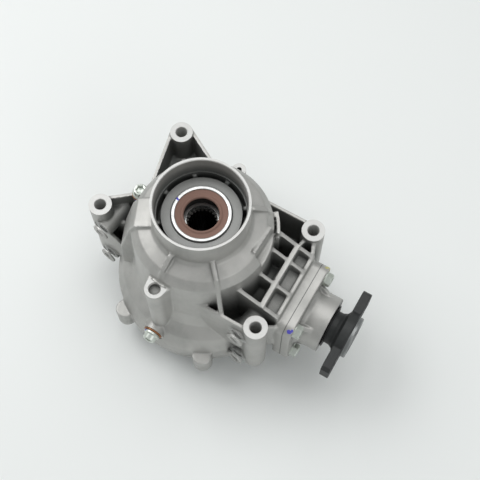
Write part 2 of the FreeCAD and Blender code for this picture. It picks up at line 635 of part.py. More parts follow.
def case_holes(places):
    """Lug holes, tapped holes, plug holes and bolt holes."""
    tools = [cylinder("lug_hole_%d" % index, "lug_bore", "lug_top - lug_bottom + 2",
                      (str(at.x), str(at.y), "lug_bottom - 1")) for index, at in enumerate(places)]
    faces, outward = bracket_places()
    turn = Rotation(Vector(0, 0, 1), -outward)
    for index, at in enumerate(faces):
        start = at + outward
        tools.append(cylinder("bracket_hole_%d" % index, "bracket_thread", "bracket_depth + 1",
                              (str(start.x), str(start.y), str(start.z)), turn))
    for index, angle in enumerate(cover_bolt_angles()):
        tools.append(cylinder("case_bolt_hole_%d" % index, "cover_bolt_radius + running_gap", "12",
                              around(COVER_BOLT_CIRCLE, angle, "split_height")))
    for corner in range(4):
        angle = 45 + 90 * corner
        base = ("nose_end - 12", "nose_bolt_circle * cos(%d deg)" % angle,
                "gear_centre + nose_bolt_circle * sin(%d deg)" % angle)
        tools.append(cylinder("nose_bolt_hole_%d" % corner, "retainer_bolt_radius + running_gap", "nose_face",
                              base, FORWARD))
    tools.append(cylinder("filler_hole", "filler_thread + running_gap", "filler_top - lug_bottom",
                          ("filler_x", "filler_y", "lug_bottom + 40")))
    tools.append(cylinder("drain_hole", "drain_thread + running_gap", DRAIN_FACE,
                          ("drain_x", "20 - " + DRAIN_FACE, "drain_z"), TO_MINUS_Y))
    tools.append(cylinder("filler_spot", "plug_flange_radius + 1.2", "14", ("filler_x", "filler_y", "filler_top")))
    tools.append(cylinder("drain_spot", "drain_boss_radius + 1", "8", ("drain_x", "-" + DRAIN_FACE, "drain_z"),
                          TO_MINUS_Y))
    tools.append(cylinder("vent_hole", "vent_bore", "vent_depth + 1", ("vent_x", "vent_y", "vent_top - vent_depth")))
    tools.append(shoulder_flat())
    tools.append(cylinder("shoulder_hole", "2.6", "13", ("-3", "73", "shoulder_boss_top - 12")))
    tools += [cylinder("case_dowel_hole_%d" % index, "dowel_radius + running_gap", "8",
                       around(DOWEL_CIRCLE, angle, "split_height")) for index, angle in enumerate(DOWEL_ANGLES)]
    return tools


def make_gear_case():
    """The main casting, fused group by group and then hollowed."""
    places = lug_places()
    groups = (("bell_ribbed", [case_bell()] + dome_ribs()), ("nose", case_nose()), ("lattice", case_lattice()),
              ("lugs", case_lugs(places)), ("webs", case_webs(places)), ("brackets", bracket_bosses()),
              ("ears", case_ears()), ("bosses", case_bosses()))
    outside = None
    for name, items in groups:
        joined = fuse(name, items)
        outside = joined if outside is None else fuse("case_with_" + name, [outside, joined])
    hollow = cut("case_hollow", outside, fuse("case_inside", case_room() + [case_channel()]))
    return cut("gear_case", hollow, fuse("case_holes", case_holes(places)))


def add_circle(sketch, x, y, radius):
    """Add a circle to a sketch: its centre and its radius are formulas."""
    start = Vector(len(sketch.Geometry) + 1, len(sketch.Geometry) + 2, 0)
    index = sketch.addGeometry(Part.Circle(start, Vector(0, 0, 1), 3), False)
    for kind, axis, text in (("DistanceX", -2, x), ("DistanceY", -1, y)):
        if text == "0":
            sketch.addConstraint(Sketcher.Constraint("PointOnObject", index, 3, axis))
        else:
            made = sketch.addConstraint(Sketcher.Constraint(kind, -1, 1, index, 3, 1.0))
            sketch.setExpression("Constraints[%d]" % made, formula(text))
    made = sketch.addConstraint(Sketcher.Constraint("Radius", index, 3.0))
    sketch.setExpression("Constraints[%d]" % made, formula(radius))


def round_sketch(body, name, role, circles, offset="0"):
    """A sketch of circles, each a centre and a radius as formulas."""
    sketch = body.newObject("Sketcher::SketchObject", name)
    attach(sketch, body, role)
    for x, y, radius in circles:
        add_circle(sketch, x, y, radius)
    sketch.setExpression(".AttachmentOffset.Base.z", formula(offset))
    return sketch


def drill(body, name, circles, offset="0", depth=None, up=False):
    """Pocket circles into a body from a level of its own Z axis; without a depth they go through both ways."""
    sketch = round_sketch(body, name + "_circles", "XY_Plane", circles, offset)
    pocket = body.newObject("PartDesign::Pocket", name)
    pocket.Profile = sketch
    if depth is None:
        pocket.Type = "ThroughAll"
        pocket.Midplane = True
    else:
        pocket.Reversed = up
        bind(pocket, Length=depth)
    body.Tip = pocket
    return pocket


def pad(body, name, sketch, height, down=False):
    """Pad a sketch of a body."""
    made = body.newObject("PartDesign::Pad", name)
    made.Profile = sketch
    made.Reversed = down
    bind(made, Length=height)
    body.Tip = made
    return made


def flat_sketch(body, name, role, points, offset="0"):
    """A sketch of one closed outline on an origin plane of a body."""
    sketch = body.newObject("Sketcher::SketchObject", name)
    attach(sketch, body, role)
    draw(sketch, points)
    sketch.setExpression(".AttachmentOffset.Base.z", formula(offset))
    return sketch


def make_side_cover():
    """Dished cover under the ring gear, with bolt ears, radial ribs, bearing seat, seal seat and collar."""
    body = turned("side_cover", (
        ("seal_outer", "lower_collar"), ("collar_radius - collar_wall", "lower_collar"),
        ("collar_radius - collar_wall", "0"),
        ("collar_radius", "0"), ("collar_radius", "14"), ("collar_radius + 6", "17"), ("case_radius - 12", "26"),
        ("case_radius - 3", "28"), ("case_radius", "30"), ("case_radius", "split_height"),
        ("case_radius - case_wall - 7", "split_height"), ("case_radius - case_wall - 9", "split_height - 3"),
        ("carrier_flange_radius + 3", "24"), ("bearing_outer + 6", "22.5"),
        ("bearing_outer + 4", "lower_bearing + bearing_width"),
        ("bearing_outer", "lower_bearing + bearing_width"), ("bearing_outer", "lower_bearing"),
        ("seal_outer - 4", "lower_bearing"), ("seal_outer - 4", "lower_collar + seal_width"),
        ("seal_outer", "lower_collar + seal_width"),
    ))
    ears = [around(COVER_BOLT_CIRCLE, angle)[:2] + ("cover_ear_radius",) for angle in cover_bolt_angles()]
    pad(body, "cover_ears", round_sketch(body, "cover_ear_circles", "XY_Plane", ears, "split_height - 10"), "10")
    holes = [around(COVER_BOLT_CIRCLE, angle)[:2] + ("cover_bolt_radius + bolt_gap",)
             for angle in cover_bolt_angles()]
    drill(body, "cover_bolt_holes", holes)
    dowels = [around(DOWEL_CIRCLE, angle)[:2] + ("dowel_radius + running_gap",) for angle in DOWEL_ANGLES]
    drill(body, "cover_dowel_holes", dowels, "split_height + 1", "7")
    rib = flat_sketch(body, "cover_rib_outline", "XZ_Plane", (
        ("collar_radius - 1", "4"), ("collar_radius + 8", "6"), ("case_radius - 8", "24"), ("case_radius - 6", "29"),
        ("collar_radius - 1", "14")))
    made = pad(body, "cover_rib", rib, "web_thick")
    made.Midplane = True
    pattern = body.newObject("PartDesign::PolarPattern", "cover_ribs")
    pattern.Originals = [made]
    pattern.Axis = (rib, ["V_Axis"])
    pattern.Angle = 360
    pattern.Occurrences = 12
    body.Tip = pattern
    return body


def make_cover_gasket():
    body = ring("cover_gasket", "case_radius - case_wall - 4", "case_radius - 0.5", "split_height + seat_gap / 2",
                "split_height + gasket_thick - seat_gap / 2")
    ears = [around(COVER_BOLT_CIRCLE, angle)[:2] + ("cover_ear_radius - 0.5",) for angle in cover_bolt_angles()]
    pad(body, "gasket_ears", round_sketch(body, "gasket_ear_circles", "XY_Plane", ears,
                                          "split_height + seat_gap / 2"), "gasket_thick - seat_gap")
    holes = [around(COVER_BOLT_CIRCLE, angle)[:2] + ("cover_bolt_radius + bolt_gap",)
             for angle in cover_bolt_angles()]
    dowels = [around(DOWEL_CIRCLE, angle)[:2] + ("dowel_radius + bolt_gap",) for angle in DOWEL_ANGLES]
    drill(body, "gasket_holes", holes + dowels)
    return body


def make_dowel_pins():
    """Two plain pins that line the cover up with the case."""
    return group("dowel_pins", [cylinder("dowel_pin_%d" % index, "dowel_radius", "13",
                                         around(DOWEL_CIRCLE, angle, "split_height - 5.5"))
                                for index, angle in enumerate(DOWEL_ANGLES)])


def hexagon(name, across, height, base, turn):
    made = doc.addObject("Part::Prism", name)
    made.Polygon = 6
    bind(made, Circumradius="(%s) / sqrt(3)" % across, Height=height)
    place(made, base, turn)
    return made


def shifted(base, direction, distance):
    """A point moved along a fixed unit direction by a formula."""
    return tuple("%s + (%s) * (%s)" % (text, part, distance) for text, part in zip(base, direction))


def bolt(name, base, turn, radius, length, across, head):
    """A flange bolt with its head on the near side of a face: the shank runs along the turned Z axis."""
    direction = turn.multVec(Vector(0, 0, 1))
    way = [round(part, 6) for part in direction]
    flange = cylinder(name + "_flange", "(%s) * 0.62" % across, "1.4", shifted(base, way, "-1.4"), turn)
    cap = hexagon(name + "_hex", across, "(%s) - 1.2" % head, shifted(base, way, "-(%s)" % head), turn)
    shank = cylinder(name + "_shank", radius, "%s + 0.2" % length, shifted(base, way, "-0.2"), turn)
    return fuse(name, [flange, cap, shank])


def make_cover_bolts():
    bolts = []
    for index, angle in enumerate(cover_bolt_angles()):
        base = around(COVER_BOLT_CIRCLE, angle, "split_height - 10 - seat_gap")
        bolts.append(bolt("cover_bolt_%d" % index, base, UPRIGHT, "cover_bolt_radius", "20", "12", "7"))
    return group("cover_bolts", bolts)


def make_retainer_bolts():
    bolts = []
    for corner in range(4):
        angle = 45 + 90 * corner
        base = ("nose_face + retainer_flange_thick + 2 * seat_gap", "nose_bolt_circle * cos(%d deg)" % angle,
                "gear_centre + nose_bolt_circle * sin(%d deg)" % angle)
        bolts.append(bolt("retainer_bolt_%d" % corner, base, Rotation(Vector(0, 1, 0), -90), "retainer_bolt_radius",
                          "retainer_flange_thick + 11", "12", "7"))
    return group("retainer_bolts", bolts)


def make_ring_gear_bolts():
    bolts = []
    for index in range(SIZE["ring_bolt_count"]):
        angle = 360 * index / SIZE["ring_bolt_count"]
        base = around("ring_bolt_circle", angle, "ring_back - carrier_flange_thick - 2 * seat_gap")
        bolts.append(bolt("ring_gear_bolt_%d" % index, base, UPRIGHT, "3.9", "carrier_flange_thick + 9", "11", "5.5"))
    return group("ring_gear_bolts", bolts)


def make_axle_seals():
    """Steel seal cases and the rubber bodies with their lips, one pair on each side."""
    made = []
    for side, base, turn in (("upper", ("0", "0", "hub_top + seal_proud - seal_width"), UPRIGHT),
                             ("lower", ("0", "0", "lower_collar + seal_width"), DOWNWARD)):
        made.append(turned("axle_seal_case_" + side, (
            ("seal_outer - 2.6", "0.3"), ("seal_outer - running_gap", "0.3"), ("seal_outer - running_gap", "seal_width"),
            ("seal_outer - 2", "seal_width"), ("seal_outer - 2", "1.8"), ("seal_outer - 2.6", "1.8")), base, turn))
        made.append(turned("axle_seal_lip_" + side, (
            ("seal_lip + 1.4", "2"), ("seal_outer - 2.1", "2"), ("seal_outer - 2.1", "seal_width - 0.8"),
            ("seal_outer - 4.5", "seal_width - 1.6"), ("seal_lip + 3.4", "seal_width - 1.6"),
            ("seal_lip + 1.2", "seal_width - 0.6"), ("seal_lip", "seal_width - 2.2"), ("seal_lip", "seal_width - 3.6")),
            base, turn))
    return made


def make_ball_bearing(name, bore, outer, width, base, turn, count):
    """Outer race, inner race and balls of a deep groove bearing."""
    middle = "((%s) + (%s)) / 2" % (bore, outer)
    ball = "((%s) - (%s)) * 0.3" % (outer, bore)
    races = []
    for side, near, far in (("outer", "(%s) + (%s) * 0.55" % (middle, ball), outer),
                            ("inner", bore, "(%s) - (%s) * 0.55" % (middle, ball))):
        blank = turned(name + "_%s_race" % side, ((near, "0"), (far, "0"), (far, width), (near, width)), base, turn)
        sketch = round_sketch(blank, name + "_%s_groove" % side, "XZ_Plane",
                              ((middle, "(%s) / 2" % width, "(%s) + running_gap" % ball),))
        groove = blank.newObject("PartDesign::Groove", name + "_%s_track" % side)
        groove.Profile = sketch
        groove.ReferenceAxis = (sketch, ["V_Axis"])
        groove.Angle = 360
        blank.Tip = groove
        races.append(blank)
    balls = []
    for index in range(count):
        made = doc.addObject("Part::Sphere", "%s_ball_%d" % (name, index))
        bind(made, Radius=ball)
        spin = Rotation(Vector(0, 0, 1), 360 * index / count)
        way = [round(part, 6) for part in (turn * spin).multVec(Vector(1, 0, 0))]
        rise = [round(part, 6) for part in turn.multVec(Vector(0, 0, 1))]
        place(made, shifted(shifted(base, way, middle), rise, "(%s) / 2" % width))
        balls.append(made)
    return races + [group(name + "_balls", balls)]


def cone_point(reach, angle, turn=0.0):
    """Point at a distance from the gear centre, at an angle from the gear's own Z axis."""
    return Vector(reach * math.sin(angle) * math.cos(turn), reach * math.sin(angle) * math.sin(turn),
                  reach * math.cos(angle))


def flank(teeth, pitch, reach, module, thin, angle):
    """Half thickness of a bevel tooth in radians at a cone angle: an involute on the opened back cone."""
    middle = reach * math.tan(pitch)
    base = middle * math.cos(PRESSURE_ANGLE)
    level = middle + reach * (angle - pitch)
    half = math.pi * module * thin / 2 / middle + involute(PRESSURE_ANGLE)
    if level > base:
        half -= involute(math.acos(base / level))
    return half * level / (reach * math.sin(angle))


def involute(angle):
    return math.tan(angle) - angle


def bevel_gear(teeth, mate, reach, face, tooth_form, body_points, first=0):
    """A straight bevel gear about Z with its cone apex at the origin: a turned blank and its teeth.

    The teeth narrow toward the apex, so all their edges run through it. The blank is an outline of radius and
    height that starts and ends on the root cone. The tooth form gives, in modules, how far a tooth stands above
    the pitch cone and below it, and the share of the pitch that it takes.
    """
    above, below, thin = tooth_form
    pitch = math.atan2(teeth, mate)
    module = 2 * reach * math.sin(pitch) / teeth
    root = pitch - below * module / reach
    sink = root - 0.3 * module / reach
    levels = [sink] + [root + (pitch + above * module / reach - root) * step / 4 for step in range(5)]
    halves = [flank(teeth, pitch, reach, module, thin, angle) for angle in levels]
    tooth = Part.makeSolid(Part.makeShell(tooth_faces(reach - face, reach, levels, halves)))
    inner, outer = cone_point(reach - face, root), cone_point(reach, root)
    points = [Vector(inner.x, 0, inner.z), Vector(outer.x, 0, outer.z)] + [Vector(x, 0, z) for x, z in body_points]
    blank = Part.Face(Part.makePolygon(points + points[:1])).revolve(Vector(), Vector(0, 0, 1), 360)
    ring_of_teeth = []
    for index in range(teeth):
        copy = tooth.copy()
        copy.rotate(Vector(), Vector(0, 0, 1), first + 360 * index / teeth)
        ring_of_teeth.append(copy)
    return blank.multiFuse(ring_of_teeth)


def tooth_faces(near, far, levels, halves):
    """The flat faces of one tooth that points along +X of the gear."""
    rings = []
    for reach in (near, far):
        rings.append([cone_point(reach, angle, -half) for angle, half in zip(levels, halves)]
                     + [cone_point(reach, angle, half) for angle, half in reversed(list(zip(levels, halves)))])
    count = len(rings[0])
    sides = [[rings[0][step], rings[0][(step + 1) % count], rings[1][(step + 1) % count], rings[1][step]]
             for step in range(count)]
    for ends in rings:
        sides += [[ends[step], ends[step + 1], ends[count - 2 - step], ends[count - 1 - step]]
                  for step in range(count // 2 - 1)]
    return [Part.Face(Part.makePolygon(side + side[:1])) for side in sides]


def loose(name, shape, base, turn=UPRIGHT):
    """A piece whose shape is worked out from the sheet."""
    made = doc.addObject("Part::Feature", name)
    made.Shape = shape
    place(made, base, turn)
    return made


def make_ring_gear():
    """Ring gear under the input axis, teeth up, with tapped holes in its back."""
    reach, face = SIZE["cone_distance"], SIZE["face_width"]
    back = SIZE["gear_centre"] - SIZE["ring_back"] - SIZE["seat_gap"]
    pitch = math.atan2(SIZE["ring_teeth"], SIZE["pinion_teeth"])
    outer = reach * math.sin(pitch) + 1
    shape = bevel_gear(SIZE["ring_teeth"], SIZE["pinion_teeth"], reach, face, RING_TOOTH,
                       ((outer - 1, back - 9), (outer - 4, back), (SIZE["ring_bore"] + SIZE["running_gap"], back),
                        (SIZE["ring_bore"] + SIZE["running_gap"], back - 12)))
    for index in range(SIZE["ring_bolt_count"]):
        angle = 2 * math.pi * index / SIZE["ring_bolt_count"]
        at = Vector(SIZE["ring_bolt_circle"] * math.cos(angle), SIZE["ring_bolt_circle"] * math.sin(angle),
                    back - 11)
        shape = shape.cut(Part.makeCylinder(4, 12, at))
    return loose("ring_gear", shape, CENTRE, DOWNWARD)


def make_pinion_gear():
    """Pinion head and its stepped shaft with bearing seats and a splined end."""
    reach, face = SIZE["cone_distance"], SIZE["face_width"]
    seat, gap = SIZE["head_bearing_bore"], SIZE["running_gap"]
    tail_seat = SIZE["tail_bearing_bore"] - gap
    start = SIZE["head_bearing_start"]
    nut = SIZE["flange_start"] + SIZE["flange_thick"] - 7.4
    shape = bevel_gear(SIZE["pinion_teeth"], SIZE["ring_teeth"], reach, face, PINION_TOOTH,
                       ((22, start - 5), (22, start - SIZE["seat_gap"]), (seat - gap, start - SIZE["seat_gap"]),
                        (seat - gap, start + SIZE["head_bearing_width"] + 6),
                        (tail_seat, start + SIZE["head_bearing_width"] + 6),
                        (tail_seat, SIZE["tail_bearing_start"] + SIZE["tail_bearing_width"] + 1),
                        (SIZE["shaft_radius"] - gap, SIZE["tail_bearing_start"] + SIZE["tail_bearing_width"] + 1),
                        (SIZE["shaft_radius"] - gap, nut), (8, nut), (8, nut + 10), (0, nut + 10),
                        (0, reach - face - 8)), 180 / SIZE["pinion_teeth"])
    return loose("pinion_gear", shape, CENTRE, FORWARD)


def make_side_gear(side):
    """Side gear with its long hub, splined for the half shaft, and a plain pilot bore at its mouth."""
    reach, face = SIZE["small_cone_distance"], SIZE["small_face_width"]
    back = SIZE["carrier_room_half"] - 1.2
    mouth = SIZE["gear_centre"] - SIZE["lower_bearing"] - 1
    if side == "upper":
        mouth = SIZE["side_hub_top"] - SIZE["gear_centre"]
    outer, bore, hub = 27.0, SIZE["side_bore"], SIZE["side_hub_radius"] - SIZE["running_gap"]
    root, pilot, first = SIZE["spline_root"], mouth - SIZE["side_pilot"], 9.5
    shape = bevel_gear(SIZE["side_teeth"], SIZE["spider_teeth"], reach, face, SIDE_TOOTH,
                       ((outer, back - 2), (outer, back), (hub, back), (hub, mouth), (bore, mouth),
                        (bore, pilot), (root, pilot), (root, first), (root + 1, first)))
    splines = []
    for index in range(SIZE["spline_count"]):
        tooth = Part.makeBox(SIZE["spline_depth"] + 0.4, 1.7, pilot - first - 2.5,
                             Vector(root - SIZE["spline_depth"], -0.85, first + 2.5))
        tooth.rotate(Vector(), Vector(0, 0, 1), 360 * index / SIZE["spline_count"])
        splines.append(tooth)
    shape = shape.multiFuse(splines)
    return loose("side_gear_" + side, shape, CENTRE, UPRIGHT if side == "upper" else DOWNWARD)


def make_spider_gear(side):
    """Spider gear that turns on the cross pin and meshes with both side gears."""
    reach, face = SIZE["small_cone_distance"], SIZE["small_face_width"]
    bore = SIZE["cross_pin_radius"] + SIZE["running_gap"]
    shape = bevel_gear(SIZE["spider_teeth"], SIZE["side_teeth"], reach, face, SPIDER_TOOTH,
                       ((17.5, 29.2), (13, SIZE["carrier_room"] - 1.6), (bore, SIZE["carrier_room"] - 1.6),
                        (bore, 16)), 180 / SIZE["spider_teeth"])
    return loose("spider_gear_" + side, shape, CENTRE, TO_PLUS_Y if side == "a" else TO_MINUS_Y)


def make_carrier():
    """Differential carrier: flange for the ring gear, windowed body and the two bearing hubs."""
    body = turned("differential_carrier", (
        ("side_hub_radius + running_gap", "lower_bearing"), ("bearing_bore - running_gap", "lower_bearing"),
        ("bearing_bore - running_gap", "lower_bearing + bearing_width + seat_gap"),
        ("bearing_bore + 4", "lower_bearing + bearing_width + seat_gap"),
        ("bearing_bore + 4", "ring_back - carrier_flange_thick"),
        ("carrier_flange_radius", "ring_back - carrier_flange_thick"), ("carrier_flange_radius", "ring_back"),
        ("ring_bore - running_gap", "ring_back"), ("ring_bore - running_gap", "ring_back + 9"),
        ("carrier_radius", "ring_back + 11"), ("carrier_radius", "gear_centre + carrier_room_half"),
        ("bearing_bore + 6", "gear_centre + carrier_room_half + 12"),
        ("bearing_bore + 4", "upper_bearing - seat_gap"), ("bearing_bore - running_gap", "upper_bearing - seat_gap"),
        ("bearing_bore - running_gap", "side_hub_top - 2"), ("side_hub_radius + running_gap", "side_hub_top - 2"),
        ("side_hub_radius + running_gap", "gear_centre + carrier_room_half"),
        ("carrier_room", "gear_centre + carrier_room_half"), ("carrier_room", "gear_centre - carrier_room_half"),
        ("side_hub_radius + running_gap", "gear_centre - carrier_room_half"),
    ))
    opening = flat_sketch(body, "carrier_window_outline", "YZ_Plane", (
        ("-window_width / 2", "gear_centre - window_height / 2"), ("window_width / 2",
                                                                  "gear_centre - window_height / 2"),
        ("window_width / 2", "gear_centre + window_height / 2"), ("-window_width / 2",
                                                                  "gear_centre + window_height / 2")))
    windows = body.newObject("PartDesign::Pocket", "carrier_windows")
    windows.Profile = opening
    windows.Type = "ThroughAll"
    windows.Midplane = True
    body.Tip = windows
    across = round_sketch(body, "cross_pin_circle", "XZ_Plane", (("0", "gear_centre",
                                                                 "cross_pin_radius + running_gap"),))
    pin_bore = body.newObject("PartDesign::Pocket", "cross_pin_bore")
    pin_bore.Profile = across
    pin_bore.Type = "ThroughAll"
    pin_bore.Midplane = True
    body.Tip = pin_bore
    spots = round_sketch(body, "spider_spot_circle", "XZ_Plane", (("0", "gear_centre", "spider_spot_radius"),))
    spot = body.newObject("PartDesign::Pocket", "spider_spots")
    spot.Profile = spots
    spot.Midplane = True
    bind(spot, Length="2 * carrier_room + 0.8")
    body.Tip = spot
    holes = [around("ring_bolt_circle", 360 * index / SIZE["ring_bolt_count"])[:2] + ("4.2",)
             for index in range(SIZE["ring_bolt_count"])]
    drill(body, "flange_bolt_holes", holes, "ring_back + 1", "carrier_flange_thick + 2")
    drill(body, "lock_pin_hole", (("0", "carrier_radius - 5", "2.5 + running_gap"),), "gear_centre + 14", "30")
    return body


def make_cross_pin():
    """Cross pin that carries the spider gears, with the hole for its lock pin."""
    body = turned("cross_pin", (("0", "-carrier_radius + 1"), ("cross_pin_radius - running_gap / 2",
                                                               "-carrier_radius + 1"),
                                ("cross_pin_radius - running_gap / 2", "carrier_radius - 1"),
                                ("0", "carrier_radius - 1")), CENTRE, TO_PLUS_Y)
    hole = round_sketch(body, "lock_hole_circle", "XZ_Plane", (("0", "carrier_radius - 5", "2.5 + running_gap"),))
    pocket = body.newObject("PartDesign::Pocket", "lock_hole")
    pocket.Profile = hole
    pocket.Type = "ThroughAll"
    pocket.Midplane = True
    body.Tip = pocket
    return body


def make_small_parts():
    """Lock pin, thrust washers and dowels."""
    low, high = "gear_centre - carrier_room_half", "gear_centre + carrier_room_half"
    made = [
        turned("cross_pin_lock", (("0", "-14"), ("2.5", "-14"), ("2.5", "13"), ("0", "13")),
               ("0", "carrier_radius - 5", "gear_centre")),
        ring("thrust_washer_upper", "side_hub_radius + 0.4", "26", high + " - 1.1", high + " - seat_gap"),
        ring("thrust_washer_lower", "side_hub_radius + 0.4", "26", low + " + seat_gap", low + " + 1.1"),
    ]
    washers = []
    for name, turn in (("a", TO_PLUS_Y), ("b", TO_MINUS_Y)):
        disc = cylinder("spider_washer_disc_" + name, "12", "1", CENTRE, turn)
        hole = cylinder("spider_washer_hole_" + name, "cross_pin_radius + 0.3", "3", CENTRE, turn)
        side = "1" if name == "a" else "-1"
        disc.setExpression(".Placement.Base.y", formula(side + " * (carrier_room - 1.45)"))
        hole.setExpression(".Placement.Base.y", formula(side + " * (carrier_room - 2.5)"))
        washers.append(cut("spider_washer_" + name, disc, hole))
    made.append(group("spider_washers", washers))
    return made


def make_retainer():
    """Pinion retainer: square flange on the nose, spigot, barrel for the tail bearing and the input seal."""
    base = ("nose_face + seat_gap", "0", "gear_centre")
    start = "nose_face + seat_gap"
    body = turned("pinion_retainer", (
        ("tail_bearing_outer - 3", "-retainer_spigot"), ("head_bearing_outer - running_gap", "-retainer_spigot"),
        ("head_bearing_outer - running_gap", "-retainer_spigot / 2 - 1.3"),
        ("head_bearing_outer - 2.3", "-retainer_spigot / 2 - 1.3"),
        ("head_bearing_outer - 2.3", "-retainer_spigot / 2 + 1.3"),
        ("head_bearing_outer - running_gap", "-retainer_spigot / 2 + 1.3"),
        ("head_bearing_outer - running_gap", "0"), ("retainer_radius + 9", "0"),
        ("retainer_radius + 9", "retainer_flange_thick"),
        ("retainer_radius + 3", "retainer_flange_thick"), ("retainer_radius", "retainer_flange_thick + 4"),
        ("retainer_radius", "retainer_end - (%s) - 1" % start), ("retainer_radius - 1", "retainer_end - (%s)" % start),
        ("tail_bearing_outer - 1.5", "retainer_end - (%s)" % start),
        ("tail_bearing_outer - 1.5", "retainer_end - input_seal_width - (%s) - 1" % start),
        ("tail_bearing_outer - 4", "retainer_end - input_seal_width - (%s) - 1" % start),
        ("tail_bearing_outer - 4", "tail_bearing_start + tail_bearing_width - (%s)" % start),
        ("tail_bearing_outer", "tail_bearing_start + tail_bearing_width - (%s)" % start),
        ("tail_bearing_outer", "tail_bearing_start - (%s)" % start),
        ("tail_bearing_outer - 3", "tail_bearing_start - (%s)" % start),
    ), base, FORWARD)
    corners = [("nose_bolt_circle * cos(%d deg)" % angle, "nose_bolt_circle * sin(%d deg)" % angle)
               for angle in (45, 135, 225, 315)]
    pad(body, "retainer_ears", round_sketch(body, "retainer_ear_circles", "XY_Plane",
                                            [pair + ("nose_ear_radius",) for pair in corners]),
        "retainer_flange_thick")
    square = flat_sketch(body, "retainer_square_outline", "XY_Plane", (
        (FLANGE_HALF, "-" + BOLT_HALF), (FLANGE_HALF, BOLT_HALF), (BOLT_HALF, FLANGE_HALF),
        ("-" + BOLT_HALF, FLANGE_HALF), ("-" + FLANGE_HALF, BOLT_HALF), ("-" + FLANGE_HALF, "-" + BOLT_HALF),
        ("-" + BOLT_HALF, "-" + FLANGE_HALF), (BOLT_HALF, "-" + FLANGE_HALF)))
    add_circle(square, "0", "0", "retainer_radius + 6")
    pad(body, "retainer_square", square, "retainer_flange_thick")
    rib = flat_sketch(body, "retainer_rib_outline", "XZ_Plane", (
        ("retainer_radius - 2", "retainer_flange_thick - 1"), ("retainer_radius + 6", "retainer_flange_thick - 1"),
        ("retainer_radius + 5", "retainer_flange_thick + 4"), ("retainer_radius - 2", "retainer_flange_thick + 18")))
    rib.AttachmentOffset = Placement(Vector(), Rotation(Vector(0, 1, 0), 45))
    made = pad(body, "retainer_rib", rib, "web_thick + 2")
    made.Midplane = True
    pattern = body.newObject("PartDesign::PolarPattern", "retainer_ribs")
    pattern.Originals = [made]
    pattern.Axis = (rib, ["V_Axis"])
    pattern.Angle = 360
    pattern.Occurrences = 4
    body.Tip = pattern
    drill(body, "retainer_bolt_holes", [pair + ("retainer_bolt_radius + bolt_gap",) for pair in corners])
    return body


def make_o_ring():
    made = doc.addObject("Part::Torus", "retainer_o_ring")
    bind(made, Radius1="head_bearing_outer - 1.2", Radius2="1.05")
    place(made, ("nose_face + seat_gap - retainer_spigot / 2", "0", "gear_centre"), FORWARD)
    return made


def make_pinion_line():
    """Small turned pieces on the pinion shaft and in the retainer."""
    end = "head_bearing_start + head_bearing_width"
    return [
        ring("pinion_spacer", "tail_bearing_bore + 0.1", "tail_bearing_bore + 3.5",
             end + " + 6 + seat_gap", "tail_bearing_start - seat_gap", ("0", "0", "gear_centre"), FORWARD),
        ring("bearing_shim", "head_bearing_bore + 8", "head_bearing_outer - 0.2", end + " + seat_gap / 2",
             "nose_face - retainer_spigot", ("0", "0", "gear_centre"), FORWARD),
        turned("input_seal_case", (
            ("tail_bearing_outer - 3.5", "0"), ("tail_bearing_outer - 1.55", "0"),
            ("tail_bearing_outer - 1.55", "input_seal_width"), ("tail_bearing_outer - 3", "input_seal_width"),
            ("tail_bearing_outer - 3", "1.2"), ("tail_bearing_outer - 3.5", "1.2")),
            ("retainer_end - input_seal_width", "0", "gear_centre"), FORWARD),
        turned("input_seal_lip", (
            ("input_neck_radius + 1", "1.6"), ("tail_bearing_outer - 3.1", "1.6"),
            ("tail_bearing_outer - 3.1", "input_seal_width - 0.4"), ("input_neck_radius + 0.1", "input_seal_width"),
            ("input_neck_radius + 0.1", "input_seal_width - 2")),
            ("retainer_end - input_seal_width", "0", "gear_centre"), FORWARD),
        ring("dust_slinger", "input_neck_radius + 0.15", "input_neck_radius + 5", "retainer_end + 0.8",
             "retainer_end + 2", ("0", "0", "gear_centre"), FORWARD),
        ring("flange_nut_washer", "8.3", "13", "flange_start + flange_thick - 7 + seat_gap",
             "flange_start + flange_thick - 5.4", ("0", "0", "gear_centre"), FORWARD),
    ]


def make_input_flange():
    """Two armed input flange with neck, pilot ring and splined bore."""
    base = ("flange_start", "0", "gear_centre")
    neck = "tail_bearing_start + tail_bearing_width + 1 - flange_start"
    body = turned("input_flange", (
        ("shaft_radius + running_gap", neck), ("input_neck_radius", neck), ("input_neck_radius", "-6"),
        ("input_neck_radius + 2", "-2"), ("input_neck_radius + 6", "0"), ("flange_hub_radius", "0.4"),
        ("flange_hub_radius", "flange_thick"), ("pilot_radius", "flange_thick"),
        ("pilot_radius", "flange_thick + pilot_length - 0.6"), ("pilot_radius - 0.6", "flange_thick + pilot_length"),
        ("pilot_radius - 5", "flange_thick + pilot_length"), ("pilot_radius - 5", "flange_thick - 7"),
        ("shaft_radius + running_gap", "flange_thick - 7"),
    ), base, FORWARD)
    arms = flat_sketch(body, "arm_outline", "XY_Plane", (
        ("-flange_arm_half", "-flange_span + 3"), ("-flange_arm_half + 4", "-flange_span"),
        ("flange_arm_half - 4", "-flange_span"), ("flange_arm_half", "-flange_span + 3"),
        ("flange_arm_half", "-flange_hub_radius + 4"), ("flange_arm_half", "flange_span - 3"),
        ("flange_arm_half - 4", "flange_span"), ("-flange_arm_half + 4", "flange_span"),
        ("-flange_arm_half", "flange_span - 3")))
    pad(body, "arms", arms, "flange_thick")
    drill(body, "middle", (("0", "0", "pilot_radius - 5"),), "flange_thick + 1", "8")
    drill(body, "shaft_bore", (("0", "0", "shaft_radius + running_gap"),))
    drill(body, "arm_holes", (("0", "flange_bolt_reach", "flange_bolt_hole"),
                              ("0", "-flange_bolt_reach", "flange_bolt_hole")))
    return body


